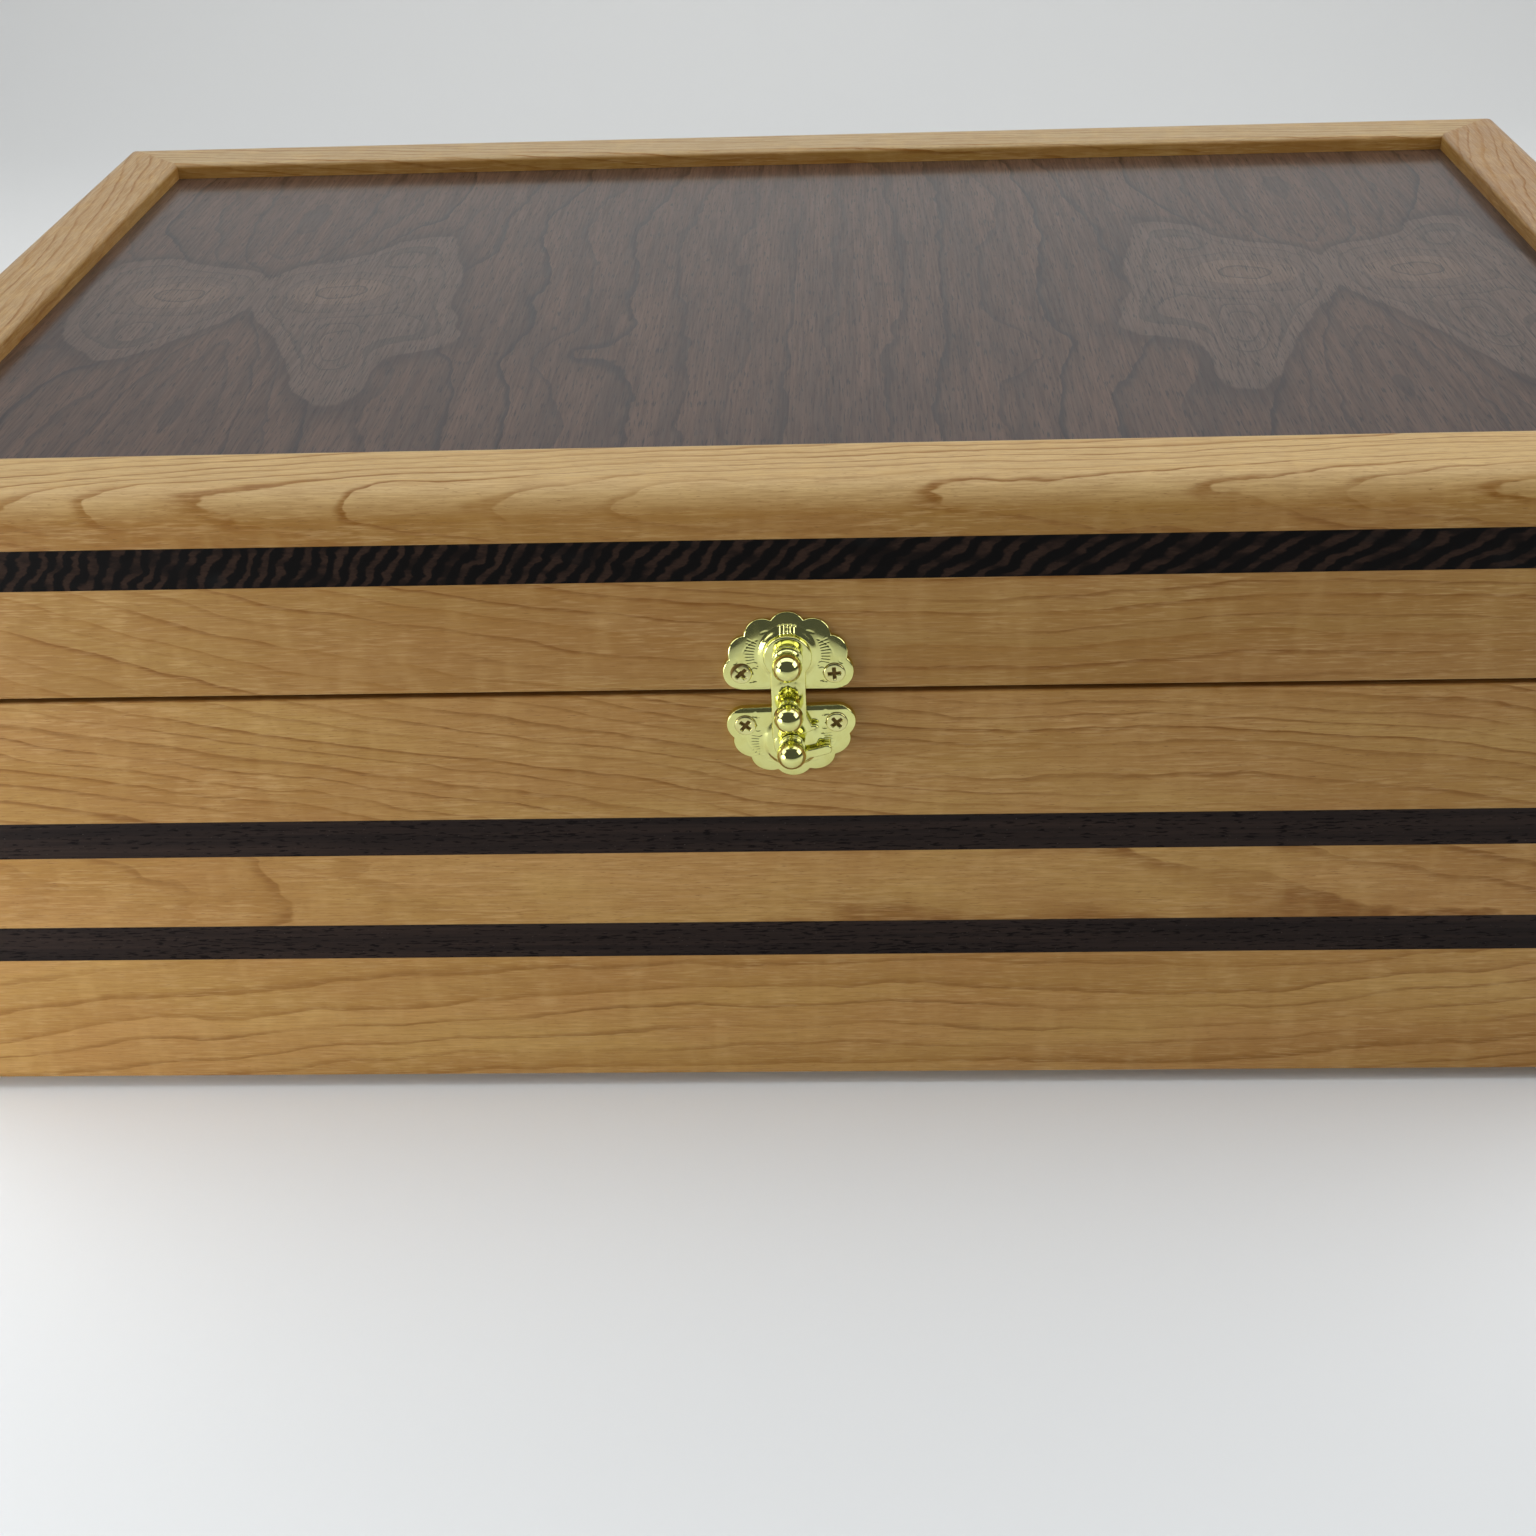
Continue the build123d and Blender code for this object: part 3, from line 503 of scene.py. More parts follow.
def ring_line(graph, rings, seed):
    """A dark late-wood line at the end of each ring, stronger on some rings than on others."""
    phase = graph.math("FRACT", rings)
    soft = graph.times(graph.math("POWER", phase, 2.5), 0.4)
    line = graph.math("MULTIPLY_ADD", graph.spread(phase, 0.82, 0.95), 0.6, soft)
    line = graph.times(line, graph.spread(phase, 0.975, 1.0, 1.0, 0.0))
    each_ring = graph.spread(per_ring(graph, rings, seed, 1.7), 0.3, 0.65, 0.5, 1.0)
    return graph.times(line, each_ring)


def grain_field(graph, plane, out, up, wing):
    """A height whose level lines are the grain outside the wings."""
    push = graph.math("EXPONENT", graph.times(graph.times(wing, wing), -0.9))
    field = graph.math("MULTIPLY_ADD", out, GRAIN_SLOPE, lifted(graph, out, up))
    field = graph.math("ADD", field, graph.times(push, WING_LIFT))
    for size, amount in FIELD_PUSHES:
        field = graph.math("MULTIPLY_ADD", graph.blobs(plane, size), amount, field)
    return field


def veneer_material(name, joint_x, direction, seed, outline):
    """One book-matched walnut leaf; direction is which way its distance runs from the joint."""
    material, graph = new_material(name)
    x, y = graph.split(graph.millimetres())[:2]
    out = graph.times(graph.math("SUBTRACT", x, joint_x / MM), direction)
    up = graph.math("SUBTRACT", y, BUTTERFLY_Y)
    plane = graph.join(out, up, seed * 3.0)
    for (size_out, size_up, size_through), amount in VENEER_SWAYS:
        out = graph.sway(out, plane, (size_out, size_up, size_through), amount)
        up = graph.sway(up, plane, (size_up, size_out, size_through), amount * DEPTH_SWAY)

    wing = share_of_wing(graph, out, up, outline)
    field = grain_field(graph, plane, out, up, wing)
    outside = ring_line(graph, graph.math("DIVIDE", field, VENEER_RING), OUTSIDE_SEED)
    eye = graph.times(share_of_eye(graph, out, up), EYE_SHARE)
    to_wing = graph.spread(wing, 0.35, 0.85)
    inner_eye = graph.times(eye, graph.math("SUBTRACT", 1.0, to_wing))
    inner = graph.math("ADD", inner_eye, graph.times(wing, to_wing))
    inside = ring_line(graph, graph.math("DIVIDE", inner, WING_RING), INSIDE_SEED)
    past_wing = graph.spread(wing, 0.985, 1.015)
    line = graph.mix(past_wing, graph.times(inside, 0.8), outside)
    rim = graph.times(past_wing, graph.spread(wing, 1.0, 1.22, 1.0, 0.0))

    tones = VENEER_TONES
    fibre = graph.blobs(plane, VENEER_FIBRE, 3.0, 0.65)
    pore = graph.blobs(plane, VENEER_PORE, 1.0)
    streak = graph.spread(graph.blobs(plane, VENEER_STREAK), 0.3, 0.7)
    wing_share = graph.math("SUBTRACT", 0.5, graph.times(past_wing, 0.5))
    eye_share = graph.spread(eye, EYE_SHARE * 0.9, EYE_SHARE * 1.05, 0.5, 0.0)
    color = graph.mix(streak, tones["light"], tones["deep"])
    color = graph.mix(wing_share, color, tones["wing"])
    color = graph.mix(eye_share, color, tones["eye"])
    color = graph.paint(color, tones["line"], line, 0.92)
    color = graph.paint(color, tones["rim"], rim, 0.6)
    color = graph.tint(color, tones["fibre"], fibre, 0.38, 0.68, 0.42)
    color = graph.tint(color, tones["pore"], pore, 0.6, 0.68, 0.85)
    roughness = graph.spread(fibre, 0.2, 0.8, 0.42, 0.55)
    lacquer = {"Coat_Weight": 0.72, "Coat_Roughness": 0.16, "Specular_IOR_Level": 0.12}
    finish_surface(graph, color, roughness, fibre, bump=0.08, step=0.04, **lacquer)
    return material


# --- Plywood, brass and rubber ---
def straight_wood(name, cloud, fibre, tones, fibre_share, roughness):
    """Plain wood with straight fibre over soft clouds, each given as what blobs takes."""
    material, graph = new_material(name)
    light, deep, dark = tones
    place = graph.millimetres()
    cloud = graph.blobs(place, *cloud)
    fibre = graph.blobs(place, *fibre)
    color = graph.mix(graph.spread(cloud, 0.3, 0.7), light, deep)
    color = graph.tint(color, dark, fibre, 0.35, 0.7, fibre_share)
    finish_surface(graph, color, graph.spread(fibre, 0.2, 0.8, *roughness), fibre)
    return material


BRASS_DULL, BRASS_SCRATCH, DULLER = (3.0, 3.0, 3.0), (2.6, 0.09, 0.09), 0.1
DIRT_TONE, DIRT_EDGE, DIRT_ROUGHNESS = rgb(0.16, 0.1, 0.03), 0.12, 0.4


def brass_material(name, tint, shade, base_roughness, scratch_turn, dirt_height=None):
    """Plated brass with fine rubbing marks and slightly dull patches.

    With a dirt height, whatever lies nearer to the front wall than that is dark with dirt.
    """
    material, graph = new_material(name)
    place = graph.millimetres(rotation=(0.0, math.radians(scratch_turn), 0.0))
    dull = graph.blobs(place, BRASS_DULL, 3.0)
    scratch = graph.blobs(place, BRASS_SCRATCH)
    color = graph.mix(graph.spread(dull, 0.35, 0.7), tint, shade)
    roughness = graph.spread(dull, 0.3, 0.75, base_roughness, base_roughness + DULLER)
    if dirt_height is not None:
        height = graph.math("SUBTRACT", FRONT_Y / MM, graph.split(place)[1])
        dirt = graph.spread(height, dirt_height - DIRT_EDGE, dirt_height, 1.0, 0.0)
        color = graph.mix(dirt, color, DIRT_TONE)
        roughness = graph.math("MULTIPLY_ADD", dirt, DIRT_ROUGHNESS, roughness)
    finish_surface(graph, color, roughness, scratch, bump=0.05, step=0.01, Metallic=1.0)
    return material


def rubber_material():
    """Black bumper rubber with a dusty bloom."""
    material, graph = new_material("foot_rubber")
    bloom = graph.blobs(graph.millimetres(), (2.0, 2.0, 2.0), 3.0)
    rubber, dust = rgb(0.018, 0.018, 0.018), rgb(0.045, 0.043, 0.04)
    color = graph.mix(graph.spread(bloom, 0.35, 0.75), rubber, dust)
    finish_surface(graph, color, graph.spread(bloom, 0.3, 0.7, 0.55, 0.8), bloom, bump=0.25)
    return material


def add_object(name, data):
    """A new object, linked into the scene."""
    added = bpy.data.objects.new(name, data)
    bpy.context.scene.collection.objects.link(added)
    return added


def set_material(node, material):
    """Give one CAD node its finished material."""
    mesh = NODES[node].data
    mesh.materials.clear()
    mesh.materials.append(material)


def dress_walls():
    """Cherry boards and dark strips on all four sides, each with a seed of its own."""
    layers = [*CHERRY_BOARDS, "base_lower_strip", "base_upper_strip", "lid_strip"]
    walls = [(layer, side) for layer in layers for side in SIDE_TURNS]
    for seed, (layer, side) in enumerate(walls):
        node = f"{layer}_{side}"
        z0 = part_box(node)[0].z
        if layer in CHERRY_BOARDS:
            # Top rails get the painted sheen of their side; the other boards get painted shade on
            # their seam rims.
            painted_top_tone = TOP_SHEEN_TONES[side] if layer == "lid_top_rail" else RIM_SHADE_TONE
            board = CHERRY_BOARDS[layer]
            material = cherry_material(f"cherry_{node}", board, painted_top_tone, side, z0, seed)
        elif layer == "lid_strip":
            material = figured_strip_material(f"figured_{node}", side, z0, seed)
        else:
            material = plain_strip_material(f"wenge_{node}", side, z0, seed)
        set_material(node, material)


PLYWOOD_TONES = (rgb(0.62, 0.44, 0.27), rgb(0.52, 0.35, 0.2), rgb(0.4, 0.25, 0.13))
BACKING_TONES = (rgb(0.2, 0.105, 0.055), rgb(0.12, 0.058, 0.032), rgb(0.07, 0.034, 0.02))


def dress_lid_panel():
    """The four face leaves, mirrored about their joints, and what is under them."""
    left_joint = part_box("lid_veneer_leaf_left_inner")[0].x
    right_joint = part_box("lid_veneer_leaf_right_inner")[1].x
    leaves = {
        "left_outer": (left_joint, -1.0, 1.0, SHORT_WING),
        "left_inner": (left_joint, 1.0, 1.0, LONG_WING),
        "right_inner": (right_joint, -1.0, 1.4, LONG_WING),
        "right_outer": (right_joint, 1.0, 1.4, LONG_WING),
    }
    for leaf, (joint_x, direction, seed, outline) in leaves.items():
        material = veneer_material(f"walnut_{leaf}", joint_x, direction, seed, outline)
        set_material(f"lid_veneer_leaf_{leaf}", material)
    cloud, fibre = ((140, 24, 24),), ((60, 1.0, 1.0), 3.0, 0.6)
    plywood = straight_wood("birch_plywood", cloud, fibre, PLYWOOD_TONES, 0.4, (0.5, 0.65))
    set_material("lid_panel_core", plywood)
    set_material("base_floor_panel", plywood)
    band, fibre = ((260, 9, 9), 3.0, 0.6), ((70, 0.9, 1.0), 3.0, 0.6)
    backing = straight_wood("walnut_backing", band, fibre, BACKING_TONES, 0.5, (0.4, 0.55))
    set_material("lid_panel_backing_veneer", backing)


LATCH_BRASS = brass_material("latch_brass", rgb(0.79, 0.79, 0.31), rgb(0.75, 0.73, 0.26),
                             base_roughness=0.06, scratch_turn=20.0)
SCREW_BRASS = brass_material("screw_brass", rgb(0.79, 0.76, 0.33), rgb(0.72, 0.66, 0.26),
                             base_roughness=0.12, scratch_turn=70.0, dirt_height=2.08)
HINGE_BRASS = brass_material("hinge_brass", rgb(0.78, 0.6, 0.29), rgb(0.7, 0.51, 0.23),
                             base_roughness=0.26, scratch_turn=0.0)
HINGE_SCREW_BRASS = brass_material("hinge_screw_brass", rgb(0.9, 0.78, 0.48),
                                   rgb(0.8, 0.66, 0.36), base_roughness=0.16, scratch_turn=30.0)
RUBBER = rubber_material()


def dress_hardware():
    """Hinges, their screws and the feet keep their CAD shapes."""
    finishes = {"hinge_": HINGE_BRASS, "hinge_screws": HINGE_SCREW_BRASS, "foot_": RUBBER}
    for start, material in finishes.items():
        for node in NODES:
            if node.startswith(start):
                set_material(node, material)


# --- Latch plates ---
# Millimetres on a plate: u to the right, v away from its straight edge, both from the middle
# of that edge, and the height out of the wall.
LOBE_RADIUS = 4.25
LOBES = [(0.0, 13.95), (5.15, 12.4), (8.7, 8.6), (9.95, 4.25)]
PLATE_MIDDLE = (0.0, 5.0)
AXIS_V = 8.6  # the pivot or stud above the straight edge
RIM_STEPS = [(0.0, 0.0), (0.0, 0.6), (0.05, 0.82), (0.14, 0.96)]  # inset, share of the height
EDGE_HEIGHT, FACE_HEIGHT = 0.45, 1.75
SKIRT_SLOPE, SKIRT_TOP, SKIRT_FALL = 0.25, 18.2, 0.036  # the far half leans back to the wall
SKIRT_BLEND = 2.6  # how sharply it starts to
BEVEL_RISE, BEVEL_REACH = 0.32, 1.3  # along the straight edge
RING_INSIDE, RING_OUTSIDE, RING_HEIGHT = 5.2, 6.7, 2.25
GROOVE_WIDTH, GROOVE_DEPTH = 0.15, 0.09
PLATE_SPOKES, PLATE_RINGS = 600, 84
LOWER_PLATE_X, LOWER_PLATE_DROP, LOWER_PLATE_TURN = 0.2, 12.8, 1.7

# Short ticks on the far side of the ring, and a hatched fan beyond it on either side. Bands
# are radii about the axis. The fan's angles are in degrees, 0 along the straight edge.
TICKS, TICK_STEP, TICK_WIDTH, TICK_DEPTH = range(-2, 3), 0.85, 0.2, 2.2
TICK_BAND, HATCH_BAND = (4.6, 7.0), (7.1, 9.4)
HATCH_STEP, HATCH_WIDTH, HATCH_FAN = 5.0, 0.11, (-27, -12)

# Engraved scrolls on the right half: centre u and v, radius, first and last angle in degrees.
SCROLLS = [
    (4.5, 7.0, 5.5, -5, 75),
    (3.0, 9.0, 5.2, 56, 80),
    (8.2, 3.2, 1.15, 95, 290),
    (7.1, 1.6, 0.7, -60, 120),
    (7.3, 4.9, 0.75, -80, 150),
    (6.9, 6.4, 0.5, 60, 260),
    (11.9, 7.4, 1.0, 160, 270),
]
SCROLL_FADE = 12  # degrees at both ends


def smooth(value, low, high):
    """A smooth step from 0 to 1 as value goes from low to high."""
    part = np.clip((value - low) / (high - low), 0.0, 1.0)
    return part * part * (3 - 2 * part)


def plate_reach(angle):
    """Distance from the plate's middle to its scalloped or straight edge."""
    du, dv = math.cos(angle), math.sin(angle)
    to_edge = PLATE_MIDDLE[1] / -dv if dv < 0 else math.inf
    if to_edge * abs(du) <= LOBES[-1][0]:
        return to_edge
    reach = 0.0
    for side in (-1, 1):
        for lobe_u, lobe_v in LOBES:
            u, v = side * lobe_u - PLATE_MIDDLE[0], lobe_v - PLATE_MIDDLE[1]
            along = u * du + v * dv
            off_squared = u * u + v * v - along * along
            if off_squared < LOBE_RADIUS**2:
                reach = max(reach, along + math.sqrt(LOBE_RADIUS**2 - off_squared))
    return reach


def groove(distance, width=GROOVE_WIDTH):
    """Depth of an engraved line at a distance from its middle."""
    return GROOVE_DEPTH * np.exp(-((distance / width) ** 2))


def engraving(u, v):
    """Depth of everything engraved on a plate."""
    side_u = np.abs(u)
    radius = np.hypot(u, v - AXIS_V)
    angle = np.degrees(np.arctan2(v - AXIS_V, side_u))
    depth = 0.0
    near, far = TICK_BAND
    on_tick = smooth(radius, near, near + 0.2) * smooth(-radius, -far, 0.2 - far) * (v > AXIS_V)
    for tick in TICKS:
        depth = depth + TICK_DEPTH * groove(u - TICK_STEP * tick, TICK_WIDTH) * on_tick
    near, far = HATCH_BAND
    low, high = HATCH_FAN
    fan = smooth(angle, high - 2, high) * smooth(-angle, low, low + 2)
    on_hatch = smooth(radius, near, near + 0.2) * smooth(-radius, -far, 0.5 - far) * fan
    off_line = np.abs(angle % HATCH_STEP - HATCH_STEP / 2)
    depth = depth + groove(np.radians(off_line) * radius, HATCH_WIDTH) * on_hatch
    for centre_u, centre_v, size, first, last in SCROLLS:
        away = np.degrees(np.arctan2(v - centre_v, side_u - centre_u))
        turned = (away - first) % 360.0
        shown = smooth(turned, 0, SCROLL_FADE)
        shown = shown * smooth(-turned, first - last, first - last + SCROLL_FADE)
        depth = depth + groove(np.hypot(side_u - centre_u, v - centre_v) - size) * shown
    return depth


def plate_height(u, v):
    """Height of a plate's face above the wall: flat near the straight edge, then leaning back."""
    skirt = EDGE_HEIGHT + SKIRT_SLOPE * (SKIRT_TOP - SKIRT_FALL * u**2 - v)
    both = np.exp(-SKIRT_BLEND * skirt) + np.exp(-SKIRT_BLEND * FACE_HEIGHT)
    face = -np.log(both) / SKIRT_BLEND
    face = face - BEVEL_RISE * (1.0 - smooth(v, 0.0, BEVEL_REACH))
    on_ring = 1.0 - smooth(np.hypot(u, v - AXIS_V), RING_INSIDE, RING_OUTSIDE)
    face = face + (RING_HEIGHT - face) * on_ring
    return face - engraving(u, v)


def latch_plate(name, node, body, x, z, turn):
    """A stamped plate: scalloped, domed, with a raised ring, engraved scrolls and a rolled edge."""
    angles = np.arange(PLATE_SPOKES) * 2 * math.pi / PLATE_SPOKES
    reach = np.array([plate_reach(angle) for angle in angles])

    def at(radius):
        middle_u, middle_v = PLATE_MIDDLE
        return middle_u + radius * np.cos(angles), middle_v + radius * np.sin(angles)

    rim_height = plate_height(*at(reach))
    rows = [(reach - inset, rim_height * share) for inset, share in RIM_STEPS]
    for ring in range(1, PLATE_RINGS):
        radius = (reach - RIM_STEPS[-1][0]) * (1.0 - ring / PLATE_RINGS)
        rows.append((radius, plate_height(*at(radius))))
    points = [point for radius, height in rows for point in zip(*at(radius), height)]
    points.append((*PLATE_MIDDLE, max(rows[-1][1])))
    faces = ring_faces(len(rows), PLATE_SPOKES)
    front_piece(name, node, body, points, faces, x, z, turn)


def ring_faces(row_count, spokes):
    """Quads between rows of points around an axis, and a fan to one last point."""
    faces = []
    for row in range(row_count - 1):
        for spoke in range(spokes):
            after = (spoke + 1) % spokes
            low, high = row * spokes, (row + 1) * spokes
            faces.append((low + spoke, low + after, high + after, high + spoke))
    last, tip = (row_count - 1) * spokes, row_count * spokes
    faces += [(last + spoke, last + (spoke + 1) % spokes, tip) for spoke in range(spokes)]
    return faces


def front_piece(name, node, body, points, faces, x, z, turn=0.0, tilt=0.0, material=LATCH_BRASS):
    """A brass piece on the front wall, from points (u, v, height) in millimetres about (x, z)."""
    mesh = bpy.data.meshes.new(name)
    mesh.from_pydata([(u * MM, -height * MM, v * MM) for u, v, height in points], [], faces)
    place = Matrix.Translation((x, FRONT_Y, z))
    spin = Matrix.Rotation(math.radians(-turn), 4, "Y")
    lean = Matrix.Rotation(math.radians(-tilt), 4, "X")
    mesh.transform(place @ spin @ lean)
    mesh.polygons.foreach_set("use_smooth", [True] * len(faces))
    mesh.update()
    brass_piece(name, node, body, mesh, material)


def brass_piece(name, node, body, mesh, material=LATCH_BRASS):
    """Link a brass mesh into the scene as the stand-in for one CAD node."""
    mesh.materials.append(material)
    piece = add_object(name, mesh)
    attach(piece, body)
    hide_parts(node)
    return piece


# --- Latch knobs, screws and hook ---
BALL_RADIUS, BALL_REACH, BALL_STEPS = 3.25, 7.6, 40
KNOB_SPOKES, COLLAR_ROLL = 96, 0.22
FINGER_DROP = 12.3
# Each knob's shank as (radius, height) steps, its collars as radius, lower and upper height,
# and the radius of the neck that its ball sits on.
PIVOT_KNOB = (
    [(1.3, 1.0), (2.4, 2.0), (2.4, 2.35), (1.25, 2.35), (1.25, 3.52)],
    [(3.3, 3.52, 4.15), (2.3, 4.15, 4.5)], 1.7)
FINGER_KNOB = ([(1.6, 3.2)], [(2.2, 3.45, 4.0), (1.75, 4.0, 4.4)], 1.4)
STUD_KNOB = (
    [(1.3, 1.0), (2.4, 1.6), (2.4, 2.1), (1.25, 2.1), (1.25, 3.8)],
    [(2.9, 3.8, 4.3), (2.5, 4.3, 4.75)], 1.9)


def ball_profile(neck):
    """The ball, from where it leaves a neck of the given radius to its tip."""
    start = math.asin(neck / BALL_RADIUS)
    profile = []
    for step in range(BALL_STEPS):
        angle = start + (math.pi - start) * step / BALL_STEPS
        profile.append((BALL_RADIUS * math.sin(angle), BALL_REACH - BALL_RADIUS * math.cos(angle)))
    return profile


def rolled_collar(radius, low, high):
    """A collar's profile with both edges rolled over."""
    roll = COLLAR_ROLL
    corner = [math.radians(angle) for angle in range(0, 91, 18)]
    lower = [(radius - roll + roll * math.sin(a), low + roll - roll * math.cos(a)) for a in corner]
    upper = [(radius - roll + roll * math.cos(a), high - roll + roll * math.sin(a)) for a in corner]
    return lower + upper


def turned_knob(name, node, body, knob, x, z):
    """A knob turned about its axis: shank, collars and a ball, closed at the ball's tip."""
    shank, collars, neck = knob
    profile = list(shank)
    for collar in collars:
        profile += rolled_collar(*collar)
    profile += ball_profile(neck)
    points = []
    for radius, height in profile:
        for spoke in range(KNOB_SPOKES):
            angle = 2 * math.pi * spoke / KNOB_SPOKES
            points.append((radius * math.cos(angle), radius * math.sin(angle), height))
    points.append((0.0, 0.0, BALL_REACH + BALL_RADIUS))
    faces = ring_faces(len(profile), KNOB_SPOKES)
    front_piece(name, node, body, points, faces, x, z)


SCREW_RADIUS, SCREW_SPOKES, SCREW_RINGS = 2.4, 96, 26
SCREW_EDGE, SCREW_CROWN, SCREW_SUNK = 0.45, 0.08, 0.3
SCREW_U, SCREW_V, SCREW_SEAT = 9.95, 4.1, 1.75
CROSS_REACH, CROSS_HALF_WIDTH, CROSS_FLOOR = 1.45, 0.38, 0.08
CROSS_SIDE, CROSS_END = 0.08, 0.12  # how far the recess's walls lean


def screw_head(name, node, body, x, z, turn, tilt):
    """A low crowned screw head with a crosshead recess."""
    angles = [2 * math.pi * spoke / SCREW_SPOKES for spoke in range(SCREW_SPOKES)]
    foot = SCREW_SEAT - SCREW_SUNK
    points = [(SCREW_RADIUS * math.cos(a), SCREW_RADIUS * math.sin(a), foot) for a in angles]
    for ring in range(SCREW_RINGS):
        share = 1 - ring / SCREW_RINGS
        radius = SCREW_RADIUS * share
        crown = SCREW_EDGE * math.sqrt(1 - share**14) + SCREW_CROWN * (1 - share**2)
        for angle in angles:
            u, v = radius * math.cos(angle), radius * math.sin(angle)
            short, long = sorted((abs(u), abs(v)))
            side = smooth(short, CROSS_HALF_WIDTH - CROSS_SIDE, CROSS_HALF_WIDTH + CROSS_SIDE)
            end = smooth(long, CROSS_REACH - CROSS_END, CROSS_REACH + CROSS_SIDE)
            sunk = (crown - CROSS_FLOOR) * (1 - side) * (1 - end)
            points.append((u, v, SCREW_SEAT + crown - sunk))
    points.append((0.0, 0.0, SCREW_SEAT + CROSS_FLOOR))
    faces = ring_faces(SCREW_RINGS + 1, SCREW_SPOKES)
    front_piece(name, node, body, points, faces, x, z, turn, tilt, SCREW_BRASS)


def plate_point(x, z, turn, u, v):
    """Where a point of a plate lies on the front wall, in metres."""
    angle = math.radians(turn)
    along = u * math.cos(angle) - v * math.sin(angle)
    up = u * math.sin(angle) + v * math.cos(angle)
    return x + along * MM, z + up * MM


HOOK_CELL, HOOK_BEVEL, HOOK_BEVEL_STEPS = 0.3, 0.42, 5
HOOK_WELD = 0.005  # points nearer than this are one
HOOK_FRONT = 0.05  # points nearer than this to the front lie on the front face
HOOK_STRAIGHT = math.radians(1.0)
LEAF_RISE = 0.17
# Lobes of the leaf as u and v of the middle, both half sizes and the lean in degrees. The stem
# as half width, middle and half length.
LEAF_LOBES = [(1.75, -7.3, 0.95, 1.9, 12.0), (0.62, -6.7, 0.3, 1.3, 16.0)]
LEAF_STEM = (0.28, -6.9, 1.7)


def leaf_relief(u, v):
    """Height of the leaf embossed on the arm above the finger knob."""
    side_u = np.abs(u)
    rise = 0.0
    for centre_u, centre_v, half_u, half_v, lean in LEAF_LOBES:
        turn = math.radians(lean)
        du, dv = side_u - centre_u, v - centre_v
        across = (du * math.cos(turn) + dv * math.sin(turn)) / half_u
        along = (dv * math.cos(turn) - du * math.sin(turn)) / half_v
        rise = max(rise, 1.0 - smooth(across**2 + along**2, 0.2, 1.0))
    half_width, middle, half_length = LEAF_STEM
    stem = (u / half_width) ** 2 + ((v - middle) / half_length) ** 4
    return LEAF_RISE * max(rise, 1.0 - smooth(stem, 0.2, 1.0))


def latch_hook():
    """The hook's own CAD shape with its edges rolled over and a leaf raised on its arm."""
    mesh = NODES["latch_hook"].data.copy()
    mesh.name = "swing_hook"
    mesh.materials.clear()
    shape = bmesh.new()
    shape.from_mesh(mesh)
    bmesh.ops.remove_doubles(shape, verts=shape.verts, dist=HOOK_WELD * MM)
    bmesh.ops.dissolve_limit(shape, angle_limit=HOOK_STRAIGHT, verts=shape.verts, edges=shape.edges)
    rims = [edge for edge in shape.edges if edge.is_manifold and is_rim(edge)]
    bmesh.ops.bevel(shape, geom=rims, offset=HOOK_BEVEL * MM, segments=HOOK_BEVEL_STEPS,
                    profile=0.5, affect="EDGES")
    low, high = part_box("latch_hook")
    for axis in (0, 2):
        normal = Vector((axis == 0, 0, axis == 2))
        for cut in np.arange(low[axis] + HOOK_CELL * MM, high[axis], HOOK_CELL * MM):
            geometry = shape.verts[:] + shape.edges[:] + shape.faces[:]
            bmesh.ops.bisect_plane(shape, geom=geometry, plane_co=normal * cut, plane_no=normal)
    front = low.y + HOOK_FRONT * MM
    for vertex in shape.verts:
        if vertex.co.y < front:
            u, v = (vertex.co.x - PIVOT.x) / MM, (vertex.co.z - PIVOT.z) / MM
            vertex.co.y -= leaf_relief(u, v) * MM
    for face in shape.faces:
        face.smooth = True
    shape.to_mesh(mesh)
    shape.free()
    piece = brass_piece("swing_hook", "latch_hook", "hook", mesh)
    piece.modifiers.new("flat_faces", "WEIGHTED_NORMAL")


def is_rim(edge):
    """Whether an edge runs around the front or back face of the hook."""
    flat, other_flat = (abs(face.normal.y) > 0.9 for face in edge.link_faces)
    return flat != other_flat


# A plate's screws: side seen from the front, side on the plate, turn and tilt in degrees.
UPPER_SCREWS = [("left", -1, 42.0, 9.0), ("right", 1, 4.0, 1.0)]
LOWER_SCREWS = [("right", -1, 38.0, -1.0), ("left", 1, 52.0, 1.5)]


def dress_latch():
    """Two plates, four screws, three knobs and the hook."""
    upper_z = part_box("latch_upper_plate")[0].z
    lower_x = PIVOT.x + LOWER_PLATE_X * MM
    lower_z = PIVOT.z - LOWER_PLATE_DROP * MM
    lower_turn = 180.0 + LOWER_PLATE_TURN
    plates = {
        "upper": ("lid", PIVOT.x, upper_z, 0.0, UPPER_SCREWS),
        "lower": ("base", lower_x, lower_z, lower_turn, LOWER_SCREWS),
    }
    for which, (body, x, z, turn, heads) in plates.items():
        latch_plate(f"stamped_{which}_plate", f"latch_{which}_plate", body, x, z, turn)
        node = f"latch_screws_{which}"
        for side, direction, cross_turn, tilt in heads:
            screw_x, screw_z = plate_point(x, z, turn, direction * SCREW_U, SCREW_V)
            screw_head(f"{node}_{side}", node, body, screw_x, screw_z, cross_turn, tilt)
    stud_x, stud_z = plate_point(lower_x, lower_z, lower_turn, 0.0, AXIS_V)
    finger_z = PIVOT.z - FINGER_DROP * MM
    turned_knob("pivot_ball_rivet", "latch_pivot_knob", "lid", PIVOT_KNOB, PIVOT.x, PIVOT.z)
    turned_knob("finger_ball", "latch_finger_knob", "hook", FINGER_KNOB, PIVOT.x, finger_z)
    turned_knob("stud_ball", "latch_stud_knob", "base", STUD_KNOB, stud_x, stud_z)
    latch_hook()


